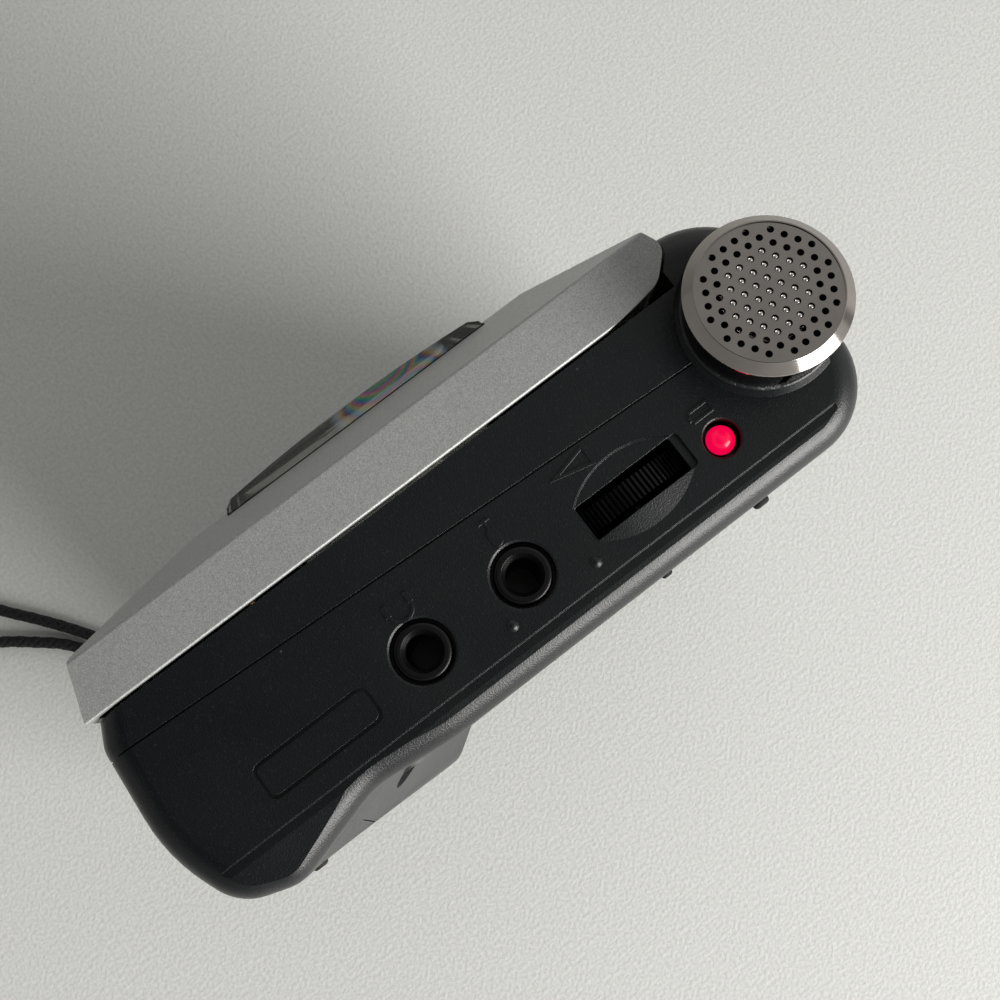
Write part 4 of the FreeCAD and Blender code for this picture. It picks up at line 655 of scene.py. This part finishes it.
def makeCapsuleCap(values):
    # the pins of the capsule's cap, one standing in each of the inner holes of the disc
    middle, way = upperFace("mic_grille")
    lean = Vector((0.0, 0.0, 1.0)).rotation_difference(way).to_matrix().to_4x4()
    turn = Matrix.Rotation(math.radians(values["turnDegrees"]), 4, "Z")
    drop = Matrix.Translation((0.0, 0.0, -values["below"] * mm))
    grown(
        "capsulePins",
        pinLattice,
        Matrix.Translation(middle) @ lean @ turn @ drop,
        "case",
        "capsule_metal",
        Pitch=values["pitch"] * mm,
        Reach=values["reach"] * mm,
        Pin_Radius=values["pinRadius"] * mm,
        Pin_Length=values["pinLength"] * mm,
        Rows=values["rows"],
        Finish=materials["capsule_metal"],
    )


makeCapsuleCap(capsuleCap)
print("stage: microphone capsule")

windowSeal = {
    "width": 0.18,
    "proud": 0.14,
    "depth": 0.6,
    "flange": 1.2,
    "slopeStartZ": 99.0,
    "slopeRun": 5.2 / 14.3,
}


def makeWindowSeal(values):
    # thin black lip that fills the gap round the window and follows the lid's face
    low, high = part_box("lid_window")
    left = low[0] + values["flange"] * mm
    right = high[0] - values["flange"] * mm
    bottom = low[2] + values["flange"] * mm
    top = high[2]
    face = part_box("lid_shell")[0][1]
    start = values["slopeStartZ"] * mm
    wide = values["width"] * mm
    path = [(left, bottom), (right, bottom), (right, start), (right, top), (left, top), (left, start)]
    middle = ((left + right) / 2, (bottom + top) / 2)
    verts = []
    faces = []
    for x, z in path:
        y = face + max(0.0, z - start) * values["slopeRun"]
        outX = math.copysign(wide, x - middle[0])
        outZ = 0.0 if z == start else math.copysign(wide, z - middle[1])
        front = y - values["proud"] * mm
        back = y + values["depth"] * mm
        verts += [(x, front, z), (x + outX, front, z + outZ), (x + outX, back, z + outZ), (x, back, z)]
    count = len(path)
    for i in range(count):
        a = 4 * i
        b = 4 * ((i + 1) % count)
        for k in range(4):
            n = (k + 1) % 4
            faces.append((a + k, b + k, b + n, a + n))
    mesh = bpy.data.meshes.new("windowSeal")
    mesh.from_pydata(verts, [], faces)
    mesh.materials.append(materials["black_rubber"])
    seal = bpy.data.objects.new("windowSeal", mesh)
    bpy.context.scene.collection.objects.link(seal)
    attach(seal, "lid")


makeWindowSeal(windowSeal)
print("stage: window seal")

strap = {
    "diameter": 2.0,
    "barX": 41.2,
    "barY": 0.1,
    "barZ": 4.2,
    "eyeRadius": 1.9,
    "coilCentre": (83.8, -62.5),
    "coilRadius": 11.5,
    "coilStep": 0.7,
    "coilArcs": 4,
    "coilArcDegrees": 97.4,
    "coilStartDegrees": -74.0,
    "coilHeights": (1.45, 4.0),
    "coilLead": 6.0,
    "pointsPerArc": 5,
    "strandCount": 8,
    "strandTurn": 5.2,
    "strandHalfWidth": 0.42,
    "strandHalfThickness": 0.17,
    "strandCorners": (0.5, 1.57, 2.64, 3.9, 5.5),
    "weave": 0.13,
    "ringEvery": 0.3,
    "freeLengthMetres": 0.327,
}
strapOut = [
    (41.2, -1.8, 4.2),
    (46.2, -1.8, 4.2),
    (50.2, -5.0, 3.2),
    (51.6, -11.0, 2.0),
    (51.4, -17.5, 1.2),
    (51.2, -24.5, 1.05),
    (52.9, -31.6, 1.05),
    (57.0, -38.2, 1.05),
    (61.4, -44.0, 1.05),
    (65.2, -48.5, 1.05),
    (68.9, -54.1, 1.05),
]
strapBack = [
    (74.4, -47.5, 1.3),
    (68.2, -44.4, 1.05),
    (63.8, -40.8, 1.05),
    (59.6, -37.3, 1.05),
    (57.0, -33.2, 1.05),
    (54.9, -27.5, 1.05),
    (54.1, -21.0, 1.05),
    (54.9, -14.2, 1.2),
    (54.8, -7.4, 2.0),
    (52.4, -1.4, 3.2),
    (47.2, 2.0, 4.2),
    (41.2, 2.0, 4.2),
]


def onArc(centre, radius, heading):
    # the point of a left-hand arc where the line heads the given way
    return (centre[0] + radius * math.sin(heading), centre[1] - radius * math.cos(heading))


def coilPoints(values):
    # spirals in on the table, climbs a layer in half a turn and spirals out again
    heading = math.radians(values["coilStartDegrees"])
    turn = math.radians(values["coilArcDegrees"])
    low, high = values["coilHeights"]
    lead = values["coilLead"]
    radii = [values["coilRadius"] - values["coilStep"] * i for i in range(values["coilArcs"])]
    inner = values["coilRadius"] - values["coilStep"] * values["coilArcs"]
    stretches = [(r, turn, low, low) for r in radii]
    stretches.append((inner, math.pi, low, high))
    stretches += [(r, turn, high, high) for r in reversed(radii)]
    x, y = values["coilCentre"]
    first = onArc((x, y), radii[0], heading)
    points = [(first[0] - math.cos(heading) * lead, first[1] - math.sin(heading) * lead, low)]
    old = radii[0]
    for r, sweep, z0, z1 in stretches:
        x += (old - r) * math.sin(heading)
        y -= (old - r) * math.cos(heading)
        old = r
        count = max(2, round(values["pointsPerArc"] * sweep / turn))
        wide = r / math.cos(sweep / count / 2)
        for k in range(count):
            share = (k + 0.5) / count
            rise = share * share * (3 - 2 * share)
            points.append((*onArc((x, y), wide, heading + sweep * share), z0 + (z1 - z0) * rise))
        heading += sweep
    last = onArc((x, y), old, heading)
    points.append((last[0] + math.cos(heading) * lead, last[1] + math.sin(heading) * lead, high))
    return points


def makeNurbs(name, points, order=3):
    curve = bpy.data.curves.new(name, "CURVE")
    curve.dimensions = "3D"
    curve.resolution_u = 12
    spline = curve.splines.new("NURBS")
    spline.points.add(len(points) - 1)
    for point, place in zip(spline.points, points):
        point.co = (place[0] * mm, place[1] * mm, place[2] * mm, 1.0)
    spline.order_u = order
    spline.use_endpoint_u = True
    made = bpy.data.objects.new(name, curve)
    bpy.context.scene.collection.objects.link(made)
    return made


def followed(curveObject):
    # the points of the curve's own smooth line
    mesh = bpy.data.meshes.new_from_object(curveObject)
    points = np.array([v.co for v in mesh.vertices])
    bpy.data.meshes.remove(mesh)
    return points


def evenly(points, every):
    steps = np.linalg.norm(np.diff(points, axis=0), axis=1)
    keep = np.concatenate([[True], steps > 1e-9])
    points = points[keep]
    along = np.concatenate([[0.0], np.cumsum(np.linalg.norm(np.diff(points, axis=0), axis=1))])
    count = max(2, int(round(along[-1] / every)))
    marks = np.linspace(0.0, along[-1], count + 1)
    return np.stack([np.interp(marks, along, points[:, k]) for k in range(3)], axis=1), marks


def transported(points):
    # a frame that moves along the line without twisting
    tangents = np.gradient(points, axis=0)
    tangents /= np.linalg.norm(tangents, axis=1)[:, None]
    side = np.cross(tangents[0], (0.0, 0.0, 1.0))
    side /= np.linalg.norm(side)
    sides = [side]
    for t in tangents[1:]:
        side = side - t * np.dot(side, t)
        side /= np.linalg.norm(side)
        sides.append(side)
    sides = np.array(sides)
    return tangents, sides, np.cross(tangents, sides)


def strandRings(line, marks, axes, hand, number, values):
    # cross-sections of one strand, wound round the line and lifted over and under the others
    tangents, sides, ups = axes
    half = values["strandCount"] // 2
    lag = 0.0 if hand > 0 else math.pi
    core = (values["diameter"] / 2 - values["strandHalfThickness"] - values["weave"] / 2) * mm
    winding = 2 * math.pi / (values["strandTurn"] * mm)
    angle = (2 * math.pi * number + lag) / half + hand * winding * marks
    lift = np.cos(half * winding * marks + lag + number * math.pi)
    radius = core + lift * values["weave"] / 2 * mm
    outward = np.cos(angle)[:, None] * sides + np.sin(angle)[:, None] * ups
    around = -np.sin(angle)[:, None] * sides + np.cos(angle)[:, None] * ups
    along = tangents + around * hand * winding * core
    along /= np.linalg.norm(along, axis=1)[:, None]
    across = np.cross(outward, along)
    centre = line + outward * radius[:, None]
    corners = []
    for a in values["strandCorners"]:
        wide = math.cos(a) * values["strandHalfWidth"] * mm
        thick = math.sin(a) * values["strandHalfThickness"] * mm
        corners.append(centre + across * wide + outward * thick)
    return np.stack(corners, axis=1)


def addTube(rings, marks, verts, faces, uvs):
    first = len(verts)
    count, ring = rings.shape[:2]
    verts.extend(rings.reshape(-1, 3).tolist())
    for i in range(count - 1):
        for j in range(ring):
            a = first + i * ring + j
            b = first + i * ring + (j + 1) % ring
            faces.append((a, b, b + ring, a + ring))
            u0 = j / ring
            u1 = (j + 1) / ring
            uvs.extend([(u0, marks[i]), (u1, marks[i]), (u1, marks[i + 1]), (u0, marks[i + 1])])
    faces.append(tuple(first + j for j in reversed(range(ring))))
    uvs.extend([(j / ring, marks[0]) for j in reversed(range(ring))])
    faces.append(tuple(first + (count - 1) * ring + j for j in range(ring)))
    uvs.extend([(j / ring, marks[-1]) for j in range(ring)])


def braidMesh(name, points, values):
    line, marks = evenly(points, values["ringEvery"] * mm)
    axes = transported(line)
    verts, faces, uvs = [], [], []
    for hand in (1, -1):
        for number in range(values["strandCount"] // 2):
            rings = strandRings(line, marks, axes, hand, number, values)
            addTube(rings, marks, verts, faces, uvs)
    mesh = bpy.data.meshes.new(name)
    mesh.from_pydata(verts, [], faces)
    layer = mesh.uv_layers.new(name="strand")
    layer.data.foreach_set("uv", np.array(uvs, np.float32).ravel())
    mesh.polygons.foreach_set("use_smooth", [True] * len(mesh.polygons))
    mesh.materials.append(materials["braided_cord"])
    made = bpy.data.objects.new(name, mesh)
    bpy.context.scene.collection.objects.link(made)
    return made


def makeStrap(values):
    core = makeNurbs("strapCore", strapOut + coilPoints(values) + strapBack)
    path = followed(core)
    core.data.bevel_depth = (values["diameter"] / 2 - 0.12) * mm
    core.data.bevel_resolution = 3
    core.data.use_fill_caps = True
    core.data.materials.append(materials["braided_cord"])
    braid = braidMesh("strapBraid", path, values)
    eyeLine = []
    for k in range(13):
        a = math.pi / 2 + math.pi * k / 12
        x = values["barX"] + values["eyeRadius"] * math.cos(a)
        y = values["barY"] + values["eyeRadius"] * math.sin(a)
        eyeLine.append((x, y, values["barZ"]))
    eye = braidMesh("strapEyeBraid", np.array(eyeLine) * mm, values)
    length = float(np.linalg.norm(np.diff(path, axis=0), axis=1).sum())
    print("strap length in millimetres", round(length / mm, 1))
    for piece in (core, braid, eye):
        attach(piece, "case")
    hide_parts("strap_strand_out", "strap_coil", "strap_strand_back")
    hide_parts("strap_eye")


makeStrap(strap)
print("stage: wrist strap")

studio = {
    "floorColour": (0.66, 0.665, 0.65),
    "floorSize": 6.0,
    "pebble": 0.0006,
    "windowPlace": (-0.3, 0.75, 0.45),
    "windowSize": (0.62, 0.56),
    "windowPower": 13.0,
    "windowColour": (1.0, 0.985, 0.96),
    "windowTarget": (-0.05, 0.0, 0.05),
    "roomColour": (1.0, 0.995, 0.965),
    "walls": (0.74, 0.32),
    "darkWay": (0.8, -0.3),
    "ceiling": (0.35, 0.0),
    "wallTop": 0.46,
    "ceilingEdge": 0.9,
}


def makeFloor(values):
    half = values["floorSize"] / 2
    mesh = bpy.data.meshes.new("tableTop")
    corners = [(-half, -half, 0), (half, -half, 0), (half, half, 0), (-half, half, 0)]
    mesh.from_pydata(corners, [], [(0, 1, 2, 3)])
    floor = bpy.data.objects.new("tableTop", mesh)
    bpy.context.scene.collection.objects.link(floor)
    material, tree, surface = newMaterial("tablePaint")
    where = addNode(tree, "ShaderNodeTexCoord").outputs["Object"]
    noise = {"Vector": where, "Scale": 1.0 / values["pebble"], "Detail": 2.0, "Roughness": 0.5}
    pebble = addNode(tree, "ShaderNodeTexNoise", noise)
    grey = spread(tree, pebble.outputs["Fac"], 0.3, 0.7)
    colour = values["floorColour"]
    tone = mixColour(tree, grey, scaled(colour, 0.9), scaled(colour, 1.06))
    tree.links.new(tone, surface.inputs["Base Color"])
    tree.links.new(spread(tree, pebble.outputs["Fac"], 0.2, 0.8, 0.5, 0.6), surface.inputs["Roughness"])
    bumpFrom(tree, surface, pebble.outputs["Fac"], 0.28, values["pebble"] * 0.5)
    mesh.materials.append(material)


def makeWindow(values):
    # the one soft lamp, upright and low like a window
    data = bpy.data.lights.new("windowLight", "AREA")
    data.shape = "RECTANGLE"
    data.size, data.size_y = values["windowSize"]
    data.energy = values["windowPower"]
    data.color = values["windowColour"]
    lamp = bpy.data.objects.new("windowLight", data)
    lamp.location = values["windowPlace"]
    aim = Vector(values["windowTarget"]) - Vector(values["windowPlace"])
    lamp.rotation_euler = aim.to_track_quat("-Z", "Y").to_euler()
    lamp.visible_camera = False
    bpy.context.scene.collection.objects.link(lamp)


def makeRoom(values):
    # walls to about a third of the height, darker one way, fading to a dim ceiling
    world = bpy.data.worlds.new("paleRoom")
    bpy.context.scene.world = world
    world.use_nodes = True
    tree = world.node_tree
    tree.nodes.clear()
    end = tree.nodes.new("ShaderNodeOutputWorld")
    way = addNode(tree, "ShaderNodeTexCoord").outputs["Generated"]
    axes = addNode(tree, "ShaderNodeSeparateXYZ", {"Vector": way})
    east, north = values["darkWay"]
    sideways = mathNode(tree, "MULTIPLY", axes.outputs["X"], east)
    onward = mathNode(tree, "MULTIPLY", axes.outputs["Y"], north)
    wall = spread(tree, mathNode(tree, "ADD", sideways, onward), -0.6, 0.6, *values["walls"])
    share = spread(tree, axes.outputs["Z"], values["wallTop"], values["ceilingEdge"])
    fromWall = mathNode(tree, "MULTIPLY", wall, mathNode(tree, "SUBTRACT", 1.0, share))
    ceiling = spread(tree, axes.outputs["X"], -0.28, 0.3, *values["ceiling"])
    fromCeiling = mathNode(tree, "MULTIPLY", share, ceiling)
    strength = mathNode(tree, "ADD", fromWall, fromCeiling)
    colour = (*values["roomColour"], 1.0)
    light = addNode(tree, "ShaderNodeBackground", {"Color": colour, "Strength": strength})
    tree.links.new(light.outputs[0], end.inputs["Surface"])


makeFloor(studio)
makeWindow(studio)
makeRoom(studio)
bpy.context.scene.view_settings.view_transform = "Standard"
print("stage: floor and light")
